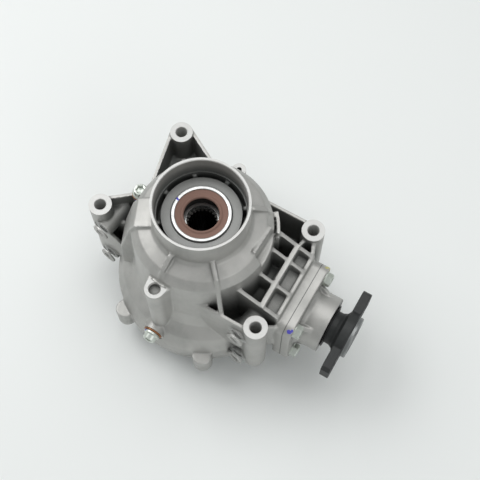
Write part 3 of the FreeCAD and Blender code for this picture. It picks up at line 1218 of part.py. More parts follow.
def make_flange_nut():
    base = ("flange_start + flange_thick - 5.3", "0", "gear_centre")
    nut = hexagon("flange_nut_hex", "24", "7", base, FORWARD)
    hole = cylinder("flange_nut_hole", "8 + running_gap", "9", ("flange_start + flange_thick - 6", "0", "gear_centre"),
                    FORWARD)
    return cut("flange_nut", nut, hole)


def make_plug(name, base, turn, thread, length):
    """A flanged plug with a hexagon socket in its head."""
    way = [round(part, 6) for part in turn.multVec(Vector(0, 0, 1))]
    head_base = shifted(base, way, "plug_washer_thick + 2 * seat_gap")
    body = turned(name, (
        ("0", "-(%s)" % length), ("%s - 0.8" % thread, "-(%s)" % length), (thread, "-(%s) + 1" % length),
        (thread, "0"), ("plug_flange_radius", "0"), ("plug_flange_radius", "2.4"), ("plug_flange_radius - 1.4", "3.2"),
        ("plug_flange_radius - 1.9", "7.6"), ("plug_flange_radius - 2.7", "8.4"), ("0", "8.4")), head_base, turn)
    socket = flat_sketch(body, name + "_socket_outline", "XY_Plane",
                         [("3.5 * cos(%d deg)" % (60 * step + 7), "3.5 * sin(%d deg)" % (60 * step + 7))
                          for step in range(6)], "8.4")
    pocket = body.newObject("PartDesign::Pocket", name + "_socket")
    pocket.Profile = socket
    bind(pocket, Length="5")
    body.Tip = pocket
    return body


def make_plugs():
    filler = ("filler_x", "filler_y", "filler_top")
    drain = ("drain_x", "-" + DRAIN_FACE, "drain_z")
    return [
        make_plug("filler_plug", filler, UPRIGHT, "filler_thread", "14"),
        ring("filler_washer", "filler_thread + 0.3", "plug_flange_radius + 0.4", "seat_gap",
             "seat_gap + plug_washer_thick", filler),
        make_plug("drain_plug", drain, TO_MINUS_Y, "drain_thread", "13"),
        ring("drain_washer", "drain_thread + 0.3", "plug_flange_radius + 1.4", "seat_gap",
             "seat_gap + plug_washer_thick", drain, TO_MINUS_Y),
    ]


def make_pieces():
    """Every sub-part of the differential, in order of assembly."""
    made = [make_gear_case(), make_side_cover(), make_cover_gasket(), make_cover_bolts(), make_dowel_pins()]
    made += make_axle_seals()
    made += make_ball_bearing("upper_bearing", "bearing_bore", "bearing_outer - running_gap", "bearing_width",
                              ("0", "0", "upper_bearing"), UPRIGHT, 11)
    made += make_ball_bearing("lower_bearing", "bearing_bore", "bearing_outer - running_gap", "bearing_width",
                              ("0", "0", "lower_bearing"), UPRIGHT, 11)
    made += [make_carrier(), make_ring_gear(), make_ring_gear_bolts(), make_cross_pin()] + make_small_parts()
    made += [make_side_gear("upper"), make_side_gear("lower"), make_spider_gear("a"), make_spider_gear("b")]
    made += [make_pinion_gear()]
    made += make_ball_bearing("head_bearing", "head_bearing_bore", "head_bearing_outer - running_gap",
                              "head_bearing_width", ("head_bearing_start", "0", "gear_centre"), FORWARD, 9)
    made += make_ball_bearing("tail_bearing", "tail_bearing_bore", "tail_bearing_outer - running_gap",
                              "tail_bearing_width", ("tail_bearing_start", "0", "gear_centre"), FORWARD, 9)
    made += [make_retainer(), make_o_ring(), make_retainer_bolts()] + make_pinion_line() + [make_input_flange(), make_flange_nut()]
    made += make_plugs()
    return made


fill_sheet()
pieces = make_pieces()


def finish():
    """Check every object and piece, then write each piece to its own file."""
    doc.recompute()
    for item in doc.Objects:
        if "Invalid" in item.State or "Error" in item.State:
            raise RuntimeError("%s failed: %s" % (item.Label, item.State))
    os.makedirs("parts", exist_ok=True)
    for piece in pieces:
        shape = piece.Shape
        if shape.isNull() or not shape.isValid() or not shape.Solids:
            raise RuntimeError("%s has no valid solid" % piece.Label)
        shape.exportStep(os.path.join("parts", piece.Label + ".step"))
        print(piece.Label, len(shape.Solids), round(shape.Volume))


finish()
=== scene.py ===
import json
import math
from collections import namedtuple

import bmesh
import bpy
import numpy as np
from bpy.props import FloatProperty, FloatVectorProperty, PointerProperty
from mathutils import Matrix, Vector


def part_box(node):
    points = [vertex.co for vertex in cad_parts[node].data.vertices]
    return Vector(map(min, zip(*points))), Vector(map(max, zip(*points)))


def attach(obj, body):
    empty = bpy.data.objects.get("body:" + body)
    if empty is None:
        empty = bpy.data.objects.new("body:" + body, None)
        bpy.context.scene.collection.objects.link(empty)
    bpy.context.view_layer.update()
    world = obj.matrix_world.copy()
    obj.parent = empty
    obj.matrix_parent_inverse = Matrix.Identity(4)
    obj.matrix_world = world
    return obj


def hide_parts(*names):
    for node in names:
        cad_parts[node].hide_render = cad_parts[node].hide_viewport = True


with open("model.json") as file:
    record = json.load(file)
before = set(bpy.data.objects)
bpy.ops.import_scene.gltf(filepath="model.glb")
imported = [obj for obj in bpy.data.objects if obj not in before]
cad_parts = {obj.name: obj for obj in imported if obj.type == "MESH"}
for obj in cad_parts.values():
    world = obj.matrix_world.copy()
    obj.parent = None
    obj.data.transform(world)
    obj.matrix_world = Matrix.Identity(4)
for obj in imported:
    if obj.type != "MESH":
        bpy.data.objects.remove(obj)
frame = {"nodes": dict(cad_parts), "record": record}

bl_info = {
    "name": "Rear differential",
    "version": (1, 0, 0),
    "blender": (4, 5, 0),
    "location": "3D View > Sidebar > Differential",
    "description": "Castings, seals, hardware and finishes around the rear differential's CAD frame",
    "category": "Object",
}

# Lengths are in millimetres until shell() puts them into a mesh in metres.
MM = 0.001

# Fineness of the castings and of the forging: smoothing rounds, most triangles, and a voxel in metres.
WORN_ROUNDS = 5
CASE_TRIANGLES = 175000
COVER_TRIANGLES = 90000
RETAINER_TRIANGLES = 80000
FORGED_ROUNDS = 3
FORGED_TRIANGLES = 90000
FORGED_VOXEL = 0.00052

# Angles, in degrees, past which an edge is shaded sharp, and how near a face lies to what was cut.
CAST_CREASE = 35
TURNED_CREASE = 32
ON_PLANE = 0.03
ON_BORE = 0.14

# Places and sizes read from the CAD frame. SEAT_GAP is the clearance between its bolted pieces.
NODES = frame["nodes"]
RECORD = frame["record"]
MOUNTS = {row["name"]: row for row in RECORD["mounts"]}
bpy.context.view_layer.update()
AXLE = (0, 0, 1)
UNDER = (0, 0, -1)
INPUT = (1, 0, 0)
DRAIN = (0, -1, 0)
SEAT_GAP = 0.1
SEAL_PROUD = 2
SPAN = {name: np.array(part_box(name)) / MM for name in NODES}
GEAR_CENTRE = SPAN["cross_pin"][0][2] / 2 + SPAN["cross_pin"][1][2] / 2
COLLAR_TOP = SPAN["gear_case"][1][2]
HUB_TOP = SPAN["axle_seal_case_upper"][1][2] - SEAL_PROUD
JOINT = SPAN["gear_case"][0][2]
COVER_TOP = SPAN["side_cover"][1][2]
NOSE_FACE = SPAN["gear_case"][1][0]
RETAINER_END = SPAN["pinion_retainer"][1][0]
CORNERS = [(math.cos(math.radians(angle)), math.sin(math.radians(angle))) for angle in (45, 135, 225, 315)]

# Lamps: name, place in metres, width in metres and power in watts. All are aimed at one point.
LAMPS = (
    ("key_light", (-1.10, 0.05, 1.35), 1.2, 12.5),
    ("top_light", (0.15, 0.55, 1.75), 1.6, 11.0),
    ("fill_light", (1.3, -0.7, 1.1), 1.2, 4.5),
)
LAMP_AIM = Vector((0, 0, 0.08))


def colour(name, description, default):
    return FloatVectorProperty(name=name, description=description, subtype="COLOR", size=3, min=0, max=1,
                               default=default)


def length(name, description, default):
    return FloatProperty(name=name, description=description, subtype="DISTANCE", unit="LENGTH", min=0,
                         default=default, precision=5)


def position(name, description, default):
    return FloatVectorProperty(name=name, description=description, subtype="TRANSLATION", unit="LENGTH",
                               size=3, default=default)


class StageSettings(bpy.types.PropertyGroup):
    """Camera, lights and floor."""
    floor_colour: colour("Floor colour", "Colour of the floor and the backdrop", (0.80, 0.82, 0.81))
    camera_place: position("Camera place", "Where the camera stands", (0.2034, -0.2827, 0.9631))
    camera_aim: position("Camera aim", "Point in the middle of the picture", (0.0322, 0.0138, 0.138))
    camera_lens: FloatProperty(name="Lens", description="Focal length on a 36 mm sensor", min=10,
                               default=70.35)
    room_light: FloatProperty(name="Room light", description="Strength of the light from all round", min=0,
                              default=0.44)


class CastingSettings(bpy.types.PropertyGroup):
    """Die cast aluminium and its machined faces."""
    body_colour: colour("Cast colour", "Colour of the cast skin", (0.50, 0.495, 0.475))
    # This colour serves both the cast stains and the painted shade in creases.
    stain_and_shade_colour: colour("Stain colour", "Colour of the darker cast skin", (0.36, 0.36, 0.345))
    face_colour: colour("Machined colour", "Colour of the machined faces", (0.60, 0.60, 0.585))
    grain_scale: FloatProperty(name="Grain scale", description="Grains of the cast skin per metre", min=1,
                               default=1100)
    voxel: length("Voxel", "Fineness of the cast skin", 0.0009)
    allowance: length("Allowance", "Extra metal that the machined faces are cut from", 0.0015)


class HardwareSettings(bpy.types.PropertyGroup):
    """Bolts, plugs, washers, seals, bearings and gears."""
    zinc_colour: colour("Zinc colour", "Colour of the plated bolts and plugs", (0.66, 0.70, 0.65))
    copper_colour: colour("Copper colour", "Colour of the sealing washers", (0.36, 0.17, 0.08))
    rubber_colour: colour("Rubber colour", "Colour of the seal bodies", (0.062, 0.026, 0.021))
    steel_colour: colour("Steel colour", "Colour of ground steel", (0.70, 0.71, 0.70))
    black_colour: colour("Black colour", "Colour of the phosphated flange", (0.020, 0.022, 0.022))
    paint_colour: colour("Paint colour", "Colour of the inspection paint", (0.045, 0.040, 0.50))


class Field:
    """A number that varies over a surface: Python's operators add Math nodes."""

    def __init__(self, board, socket):
        self.board = board
        self.socket = socket

    def math(self, operation, *others):
        sockets = [self] + list(others)
        return self.board.number("ShaderNodeMath", {"operation": operation}, sockets)

    def __add__(self, other):
        return self.math("ADD", other)

    def __sub__(self, other):
        return self.math("SUBTRACT", other)

    def __mul__(self, other):
        return self.math("MULTIPLY", other)

    def __rsub__(self, other):
        return self.board.number("ShaderNodeMath", {"operation": "SUBTRACT"}, [other, self])

    __radd__ = __add__
    __rmul__ = __mul__

    def above(self, low, high):
        """Nought below low, one above high, smooth between."""
        inputs = [self, low, high, 0, 1]
        return self.board.number("ShaderNodeMapRange", {"interpolation_type": "SMOOTHSTEP"}, inputs)

    def clipped(self):
        return self.math("MAXIMUM", 0).math("MINIMUM", 1)


class Board:
    """The node tree of one material."""

    def __init__(self, name):
        self.material = bpy.data.materials.new(name)
        self.material.use_nodes = True
        self.tree = self.material.node_tree
        self.tree.nodes.clear()
        coordinates = self.node("ShaderNodeTexCoord")
        self.place = coordinates.outputs["Object"]
        parts = self.node("ShaderNodeSeparateXYZ", {}, [self.place])
        self.x, self.y, self.z = (Field(self, parts.outputs[axis]) for axis in range(3))

    def node(self, kind, settings=None, inputs=()):
        """Add a node: its settings first, then the values or links of its sockets, by order or by name."""
        made = self.tree.nodes.new(kind)
        for name, value in (settings or {}).items():
            setattr(made, name, value)
        pairs = inputs.items() if isinstance(inputs, dict) else enumerate(inputs)
        for key, value in pairs:
            if value is None:
                continue
            value = value.socket if isinstance(value, Field) else value
            if isinstance(value, bpy.types.NodeSocket):
                self.tree.links.new(value, made.inputs[key])
            else:
                made.inputs[key].default_value = value
        return made

    def number(self, kind, settings, inputs):
        return Field(self, self.node(kind, settings, inputs).outputs[0])

    def noise(self, scale, detail=4.0, roughness=0.55, place=None):
        inputs = {"Vector": place or self.place, "Scale": scale, "Detail": detail, "Roughness": roughness}
        return Field(self, self.node("ShaderNodeTexNoise", {}, inputs).outputs["Fac"])

    def edges(self):
        """How sharply the surface stands out, about 0.5 on the flat."""
        return Field(self, self.node("ShaderNodeNewGeometry").outputs["Pointiness"])

    def distance(self, point):
        made = self.node("ShaderNodeVectorMath", {"operation": "DISTANCE"}, [self.place, point])
        return Field(self, made.outputs["Value"])

    def stretched(self, scale):
        """Object coordinates scaled by a vector, for a grain with a direction."""
        return self.node("ShaderNodeMapping", {}, {"Vector": self.place, "Scale": scale}).outputs[0]

    def blend(self, share, first, second):
        """A mix of two colours: the first where the share is nought, the second where it is one."""
        made = self.node("ShaderNodeMix", {"data_type": "RGBA"}, {0: share})
        for key, value in ((6, first), (7, second)):
            if isinstance(value, bpy.types.NodeSocket):
                self.tree.links.new(value, made.inputs[key])
            else:
                made.inputs[key].default_value = (*value, 1)
        return made.outputs[2]

    def recess(self, reach):
        """How far a point lies in a recess: the share of the sky that walls within a reach take away."""
        made = self.node("ShaderNodeAmbientOcclusion", {"samples": 6}, {"Distance": reach})
        return 1 - Field(self, made.outputs["AO"])

    def painted(self, shade, metallic, dots, paint):
        """Paint dots of (point, reach), in millimetres, laid over a shade."""
        for point, reach in dots:
            ragged = self.distance([part * MM for part in point]) + self.noise(420, 2.0) * (reach * MM * 0.7)
            dot = 1 - ragged.above(reach * MM * 1.05, reach * MM * 1.3)
            shade = self.blend(dot * 0.9, shade, paint)
            metallic = metallic * (1 - dot * 0.9)
        return shade, metallic

    def bump(self, height, strength, distance):
        made = self.node("ShaderNodeBump", {}, {"Height": height, "Strength": strength, "Distance": distance})
        return made.outputs[0]

    def finish(self, shade, roughness, metallic, normal=None):
        """Close the tree with a Principled shader. The shade is the link of a mix."""
        inputs = {"Base Color": shade, "Roughness": roughness, "Metallic": metallic, "Normal": normal}
        shader = self.node("ShaderNodeBsdfPrincipled", {}, inputs)
        self.node("ShaderNodeOutputMaterial", {}, {"Surface": shader.outputs[0]})
        return self.material


# Centres and reaches of the inspection paint, in millimetres.
BOSS_PAINT = (((-77.6, -0.1, 135.0), 2.0), ((-76.4, -0.6, 131.5), 1.7), ((-78.4, 0.4, 137.6), 1.4))
PLUG_PAINT = (((-15.4, -91.6, 71.5), 2.2), ((-16.0, -93.0, 62.5), 2.0))
RETAINER_PAINT = (((114.6, -37.2, 119.0), 2.6), ((116.8, -35.6, 120.2), 1.8))
RETAINER_SMEAR = (((117.0, 39.0, 115.0), 3.6), ((115.2, 37.4, 118.8), 2.2))
SEAL_PAINT = (((-27.0, 1.7, 191.0), 1.5), ((-25.4, 1.2, 191.0), 1.2))

# Shades that one finish alone uses.
SMEAR_PAINT = (0.50, 0.47, 0.16)
# Painted shade for the face round the seal inside the collar.
HUB_FACE_PAINTED_SHADE = (0.19, 0.193, 0.187)
# Painted shade for the deep pockets.
POCKET_PAINTED_SHADE = (0.075, 0.082, 0.080)
LINE_SHADE = (0.05, 0.05, 0.05)
# Painted shade deep inside the side gears' bores.
BORE_PAINTED_SHADE = (0.045, 0.043, 0.04)
PHOSPHATE_CLOUD = (0.034, 0.037, 0.036)
HANDLED_SHADE = (0.16, 0.16, 0.155)
PILOT_SHADE = (0.30, 0.31, 0.31)
FIBRE_SHADES = ((0.016, 0.016, 0.018), (0.045, 0.045, 0.045))
IRON_SHADES = ((0.10, 0.098, 0.095), (0.19, 0.185, 0.175))
# A dark copy of the steel: painted shade on the input seal and the dust slinger behind the flange.
SEAL_PAINTED_SHADE_STEEL = ((0.05, 0.05, 0.05), (0.03, 0.03, 0.03))
GEAR_STEEL = ((0.30, 0.30, 0.31), (0.12, 0.12, 0.12))
STEEL_STAIN = (0.42, 0.42, 0.42)
ZINC_STAIN = (0.42, 0.45, 0.38)
COPPER_STAIN = (0.12, 0.06, 0.035)

# Places where a finish changes, in metres.
# HUB_FACE_EDGE bounds the painted shade round the seal.
HUB_FACE_EDGE = (0.042, 0.046)
# POCKET_REACH is how far the painted pocket shade looks for walls.
POCKET_REACH = 0.045
JOINT_LINE = (0.00022, 0.0005)
MOUTH_BAND = (0.0891, 0.0903)
PILOT_START = (0.1651, 0.1655)


def cast_skin(settings, paint):
    """Die cast aluminium: a fine satin grain, soft blotches, painted shade in creases, edges rubbed bright.
    Painted shade darkens the face round the seal and the deep pockets; the retainer's joint line is darker."""
    board = Board("cast_skin")
    grain = board.noise(settings.grain_scale, 3.0, 0.6)
    blotch = board.noise(24, 5.0, 0.6)
    flow = board.noise(1.0, 4.0, 0.6, board.stretched((70, 70, 12)))
    rubbed = board.edges().above(0.515, 0.56)
    # Painted shade: concave creases are darkened towards the stain colour.
    crease_painted_shade = 1 - board.edges().above(0.43, 0.495)
    shade = board.blend((blotch.above(0.38, 0.68) * 0.5 + flow.above(0.45, 0.7) * 0.25).clipped(),
                        settings.body_colour, settings.stain_and_shade_colour)
    shade = board.blend(crease_painted_shade * 0.55, shade, settings.stain_and_shade_colour)
    shade = board.blend(rubbed * 0.35, shade, settings.face_colour)
    # Painted shade on the sunk face round the seal and on the inside of the collar.
    hub_face_painted_shade = 1 - board.distance((0, 0, HUB_TOP * MM)).above(*HUB_FACE_EDGE)
    shade = board.blend(hub_face_painted_shade * 0.75, shade, HUB_FACE_PAINTED_SHADE)
    # Painted shade in the deep pockets, from ambient occlusion.
    pocket_painted_shade = board.recess(POCKET_REACH).above(0.20, 0.85)
    shade = board.blend(pocket_painted_shade * 0.66, shade, POCKET_PAINTED_SHADE)
    joint = 1 - (board.x - (NOSE_FACE + SEAT_GAP / 2) * MM).math("ABSOLUTE").above(*JOINT_LINE)
    shade = board.blend(joint * 0.8, shade, LINE_SHADE)
    shade, metallic = board.painted(shade, board.x * 0 + 0.72, BOSS_PAINT + RETAINER_PAINT, paint)
    shade, metallic = board.painted(shade, metallic, RETAINER_SMEAR, SMEAR_PAINT)
    height = grain * 0.6 + board.noise(300, 4.0) * 0.8
    rough = 0.42 + blotch * 0.14 - rubbed * 0.10 + crease_painted_shade * 0.08 + pocket_painted_shade * 0.15
    return board.finish(shade, rough, metallic, board.bump(height, 0.22, 0.00018))


def machined_face(settings):
    """Aluminium cut by a mill: fine arcs, bright, with faint stains."""
    board = Board("machined_face")
    inputs = {"Vector": board.place, "Scale": 520.0, "Distortion": 1.6, "Detail": 2.0, "Detail Scale": 1.2}
    arcs = board.node("ShaderNodeTexWave", {"wave_type": "RINGS", "rings_direction": "Z"}, inputs)
    marks = Field(board, arcs.outputs["Fac"])
    stain = board.noise(60, 5.0)
    shade = board.blend(stain.above(0.5, 0.75) * 0.35, settings.face_colour, settings.body_colour)
    rough = 0.42 + stain * 0.16 + marks * 0.05
    return board.finish(shade, rough, 0.45, board.bump(marks + board.noise(900) * 0.5, 0.12, 0.0001))


def plated(name, shade, dark, roughness, paint=(), paint_colour=(0, 0, 0)):
    """Plated or ground steel with thin stains and scratches; paint dots may lie on it."""
    board = Board(name)
    stain = board.noise(140, 5.0, 0.6)
    scratch = board.noise(1.0, 2.0, 0.5, board.stretched((1500, 220, 1500)))
    worn = board.edges().above(0.52, 0.60)
    surface = board.blend(stain.above(0.42, 0.72) * 0.5, shade, dark)
    surface = board.blend(worn * 0.4, surface, tuple(min(1, part * 1.25) for part in shade))
    surface, metallic = board.painted(surface, board.x * 0 + 0.85, paint, paint_colour)
    rough = roughness + stain * 0.16 - worn * 0.08
    height = scratch + board.noise(700, 3.0) * 0.6
    return board.finish(surface, rough, metallic, board.bump(height, 0.10, 0.0001))


def mouth_steel(settings):
    """Steel of the side gears: bright where the seal runs and at the mouth, with painted shade further in."""
    board = Board("mouth_steel")
    away = (board.z - GEAR_CENTRE * MM).math("ABSOLUTE")
    # Painted shade: the steel turns dark deeper into the bore.
    bright = (away + board.noise(160, 3.0) * 0.0012).above(*MOUTH_BAND)
    shade = board.blend(bright, BORE_PAINTED_SHADE, settings.steel_colour)
    rough = 0.30 - bright * 0.12 + board.noise(300, 3.0) * 0.08
    return board.finish(shade, rough, 0.9, board.bump(board.noise(1400, 2.0), 0.12, 0.00008))


def black_phosphate(settings):
    """Phosphated steel: nearly black, grey where it is handled, and turned bright steel on the pilot."""
    board = Board("black_phosphate")
    cloud = board.noise(120, 5.0, 0.65)
    speck = board.noise(1400, 2.0, 0.7)
    worn = board.edges().above(0.525, 0.58)
    shade = board.blend(cloud.above(0.45, 0.7) * 0.5, settings.black_colour, PHOSPHATE_CLOUD)
    shade = board.blend((worn * (0.2 + speck * 0.4)).clipped(), shade, HANDLED_SHADE)
    pilot = (board.x + cloud * 0.0006).above(*PILOT_START)
    shade = board.blend(pilot * 0.85, shade, PILOT_SHADE)
    rough = 0.46 + cloud * 0.16 - worn * 0.06 - pilot * 0.14
    metallic = pilot * 0.75 + 0.1
    return board.finish(shade, rough, metallic, board.bump(speck + cloud * 0.6, 0.14, 0.00010))


def seal_rubber(settings):
    """Moulded rubber, brown, with a slight bloom."""
    board = Board("seal_rubber")
    bloom = board.noise(170, 4.0, 0.6)
    shade = board.blend(bloom.above(0.4, 0.7) * 0.4, settings.rubber_colour,
                        tuple(part * 1.6 for part in settings.rubber_colour))
    return board.finish(shade, 0.46 + bloom * 0.16, 0.0, board.bump(board.noise(1500, 2.0), 0.15, 0.0001))


def gasket_fibre():
    """Pressed fibre gasket, dark grey."""
    board = Board("gasket_fibre")
    fleck = board.noise(1600, 2.0, 0.7)
    shade = board.blend(fleck.above(0.45, 0.65), *FIBRE_SHADES)
    return board.finish(shade, 0.72 + fleck * 0.1, 0.0, board.bump(fleck, 0.3, 0.0001))


def iron_skin():
    """Cast iron of the carrier, oily and dark."""
    board = Board("iron_skin")
    cloud = board.noise(60, 5.0, 0.6)
    shade = board.blend(cloud, *IRON_SHADES)
    return board.finish(shade, 0.40 + cloud * 0.2, 0.8, board.bump(board.noise(1100, 3.0), 0.3, 0.00015))


def settings_of(name):
    """The settings that the sidebar shows under a name."""
    return getattr(bpy.context.scene, "differential_" + name)


def directions(axis):
    """Three unit vectors: along an axis, and two across it."""
    axis = np.array(axis, float) / np.linalg.norm(axis)
    side = np.array((1.0, 0.0, 0.0)) if abs(axis[2]) > 0.9 else np.cross((0.0, 0.0, 1.0), axis)
    side /= np.linalg.norm(side)
    return axis, side, np.cross(axis, side)


def grid_faces(rows, columns, loop):
    """Quads of a grid that closes on itself across its columns, and along its rows where it is a loop."""
    row = np.arange(rows if loop else rows - 1)[:, None]
    column = np.arange(columns)[None, :]
    after, beside = (row + 1) % rows, (column + 1) % columns
    quads = np.stack((row * columns + column, row * columns + beside, after * columns + beside,
                      after * columns + column), axis=2)
    return quads.reshape(-1, 4)


def lathe(base, axis, profile, segments=96, loop=False, flats=None):
    """A profile of (radius, distance) carried round an axis. Flats turn it to a hexagon: the radius at each
    angle is the smaller of the profile's and half the width across flats over the cosine of the angle from a
    flat."""
    axis, side, other = directions(axis)
    profile = np.array(profile, float)
    turn = np.linspace(0, 2 * np.pi, segments, endpoint=False)
    radius = np.repeat(profile[:, :1], segments, axis=1)
    if flats is not None:
        from_flat = np.mod(turn + np.pi / 6, np.pi / 3) - np.pi / 6
        hexagon = np.array(flats, float).reshape(-1, 1) / 2 / np.cos(from_flat)[None, :]
        radius = np.minimum(radius, hexagon)
    out = radius[..., None] * (np.cos(turn)[None, :, None] * side + np.sin(turn)[None, :, None] * other)
    points = np.array(base, float) + out + profile[:, 1][:, None, None] * axis
    return points.reshape(-1, 3), grid_faces(len(profile), segments, loop)


def rod(base, axis, radius, reach, segments=64):
    """A closed cylinder: a lathe profile that starts and ends on the axis."""
    return lathe(base, axis, ((0, 0), (radius, 0), (radius, reach), (0, reach)), segments)


def tube(base, axis, inner, outer, reach, segments=128):
    """A closed ring with square edges."""
    return lathe(base, axis, ((inner, 0), (outer, 0), (outer, reach), (inner, reach)), segments, loop=True)


def rounded(points, radius, loop=True, steps=5):
    """A profile with its corners rounded: each becomes a quadratic curve that starts and ends the radius away
    from the corner, or under half of the shorter edge. An open profile keeps its two ends."""
    points = np.array(points, float)
    before, after = np.roll(points, 1, axis=0) - points, np.roll(points, -1, axis=0) - points
    near, far = np.linalg.norm(before, axis=1), np.linalg.norm(after, axis=1)
    reach = np.minimum(radius, 0.45 * np.minimum(near, far))[:, None]
    start = points + before / near[:, None] * reach
    end = points + after / far[:, None] * reach
    share = np.linspace(0, 1, steps)[None, :, None]
    rest = 1 - share
    curve = rest ** 2 * start[:, None] + 2 * share * rest * points[:, None] + share ** 2 * end[:, None]
    if loop:
        return curve.reshape(-1, 2)
    return np.concatenate((points[:1], curve[1:-1].reshape(-1, 2), points[-1:]))


def prism(outline, base, axis, reach):
    """A flat outline pushed along an axis, closed at both ends. Its two coordinates are across the axis."""
    axis, side, other = directions(axis)
    outline = np.array(outline, float)
    count = len(outline)
    flat = np.array(base, float) + outline[:, :1] * side + outline[:, 1:] * other
    near = np.arange(count)
    after = np.roll(near, -1)
    walls = np.stack((near, after, after + count, near + count), axis=1)
    ends = [tuple(near[::-1]), tuple(near + count)]
    return np.concatenate((flat, flat + reach * axis)), ends + walls.tolist()


def block(low, high):
    """A closed box between two corners."""
    low, high = np.array(low, float), np.array(high, float)
    outline = ((low[0], low[1]), (high[0], low[1]), (high[0], high[1]), (low[0], high[1]))
    return prism(outline, (0, 0, low[2]), AXLE, high[2] - low[2])


def shell(name, parts, outward=True):
    """One mesh object from several closed parts, each a pair of vertices and faces. Doubles at the poles are
    merged and the faces turned outward."""
    points, faces, start = [], [], 0
    for part_points, part_faces in parts:
        points.append(part_points)
        faces += [tuple(int(index) + start for index in face) for face in part_faces]
        start += len(part_points)
    mesh = bpy.data.meshes.new(name)
    mesh.from_pydata((np.concatenate(points) * MM).tolist(), [], faces)
    if outward:
        work = bmesh.new()
        work.from_mesh(mesh)
        bmesh.ops.remove_doubles(work, verts=work.verts, dist=2e-7)
        bmesh.ops.recalc_face_normals(work, faces=work.faces)
        work.to_mesh(mesh)
        work.free()
    mesh.update()
    made = bpy.data.objects.new(name, mesh)
    bpy.context.scene.collection.objects.link(made)
    return made


def merged(node):
    """Vertices, in millimetres, and faces of a CAD node with its corners merged."""
    work = bmesh.new()
    work.from_mesh(NODES[node].data)
    bmesh.ops.remove_doubles(work, verts=work.verts, dist=1e-6)
    points = np.array([vertex.co[:] for vertex in work.verts]) / MM
    faces = np.array([[vertex.index for vertex in face.verts] for face in work.faces])
    work.free()
    return points, faces


def islands(node):
    """The separate solids of a CAD node, as arrays of vertices: every vertex takes the lowest label of its
    faces until nothing changes."""
    points, faces = merged(node)
    label = np.arange(len(points))
    while True:
        lowest = label[faces].min(axis=1)
        new = label.copy()
        for corner in range(3):
            np.minimum.at(new, faces[:, corner], lowest)
        if (new == label).all():
            break
        label = new
    return [points[label == value] for value in np.unique(label)]


def middle(points):
    """The middle of the box round some points."""
    return (points.min(axis=0) + points.max(axis=0)) / 2


def baked(made):
    """The object with its modifiers applied to a new mesh."""
    graph = bpy.context.evaluated_depsgraph_get()
    mesh = bpy.data.meshes.new_from_object(made.evaluated_get(graph))
    made.modifiers.clear()
    old = made.data
    made.data = mesh
    bpy.data.meshes.remove(old)
    mesh.name = made.name
    return made


def modifier(made, kind, **settings):
    """Add a modifier with its settings."""
    added = made.modifiers.new(kind.lower(), kind)
    for name, value in settings.items():
        setattr(added, name, value)
    return added


def cast(node, name, voxel, rounds, triangles, stock, cuts):
    """A casting: the CAD solid and the stock left for machining are remeshed together on a fine lattice,
    their corners are worn round, and then the machined faces and holes are cut to size. Cuts are groups of
    closed parts that stay clear of each other."""
    made = shell(name, [merged(node)] + stock, outward=False)
    modifier(made, "REMESH", mode="VOXEL", voxel_size=voxel, use_smooth_shade=True)
    modifier(made, "SMOOTH", factor=0.5, iterations=rounds)
    baked(made)
    count = len(made.data.polygons) * 2
    if count > triangles:
        modifier(made, "DECIMATE", ratio=triangles / count)
        baked(made)
    for group in cuts:
        cutter = shell(name + "_cutter", group)
        modifier(made, "BOOLEAN", operation="DIFFERENCE", solver="MANIFOLD", object=cutter)
        baked(made)
        bpy.data.objects.remove(cutter)
    if not made.data.polygons:
        raise RuntimeError(name + " was cut away")
    return made


def face_arrays(mesh):
    """Centres, in millimetres, and normals of a mesh's faces."""
    count = len(mesh.polygons)
    centres, normals = np.empty(count * 3), np.empty(count * 3)
    mesh.polygons.foreach_get("center", centres)
    mesh.polygons.foreach_get("normal", normals)
    return centres.reshape(-1, 3) / MM, normals.reshape(-1, 3)


def smooth(made, crease):
    """Shade an object smooth, with sharp edges where it turns by more than the crease, in degrees."""
    made.data.polygons.foreach_set("use_smooth", np.ones(len(made.data.polygons), bool))
    made.data.set_sharp_from_angle(angle=math.radians(crease))


def mark_machined(made, faces, bores):
    """Give the machined material to faces on a plane (point, normal, reach) and on a bore (point, axis,
    radius, reach along the axis)."""
    mesh = made.data
    mesh.materials.clear()
    mesh.materials.append(bpy.data.materials["cast_skin"])
    mesh.materials.append(bpy.data.materials["machined_face"])
    centres, normals = face_arrays(mesh)
    chosen = np.zeros(len(centres), bool)
    for point, normal, reach in faces:
        away = centres - np.array(point)
        normal = np.array(normal) / np.linalg.norm(normal)
        flat = np.abs(away @ normal) < ON_PLANE
        chosen |= flat & (normals @ normal > 0.99) & (np.linalg.norm(away, axis=1) < reach)
    for point, axis, radius, reach in bores:
        away = centres - np.array(point)
        axis = np.array(axis) / np.linalg.norm(axis)
        along = away @ axis
        out = np.linalg.norm(away - along[:, None] * axis, axis=1)
        chosen |= (np.abs(out - radius) < ON_BORE) & (np.abs(along) < reach)
    mesh.polygons.foreach_set("material_index", chosen.astype(np.int32))
    smooth(made, CAST_CREASE)
    mesh.update()


def kept(made, body, slot, *nodes):
    """A finished piece: it rides on a body and stands for CAD nodes, which are hidden. The slot is not used.
    """
    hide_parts(*nodes)
    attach(made, body)
    return made


def hardware(name, parts, material, body, slot, *nodes):
    """Turned pieces as one object with smooth sides and crisp corners."""
    made = shell(name, parts)
    made.data.materials.append(bpy.data.materials[material])
    smooth(made, TURNED_CREASE)
    return kept(made, body, slot, *nodes)


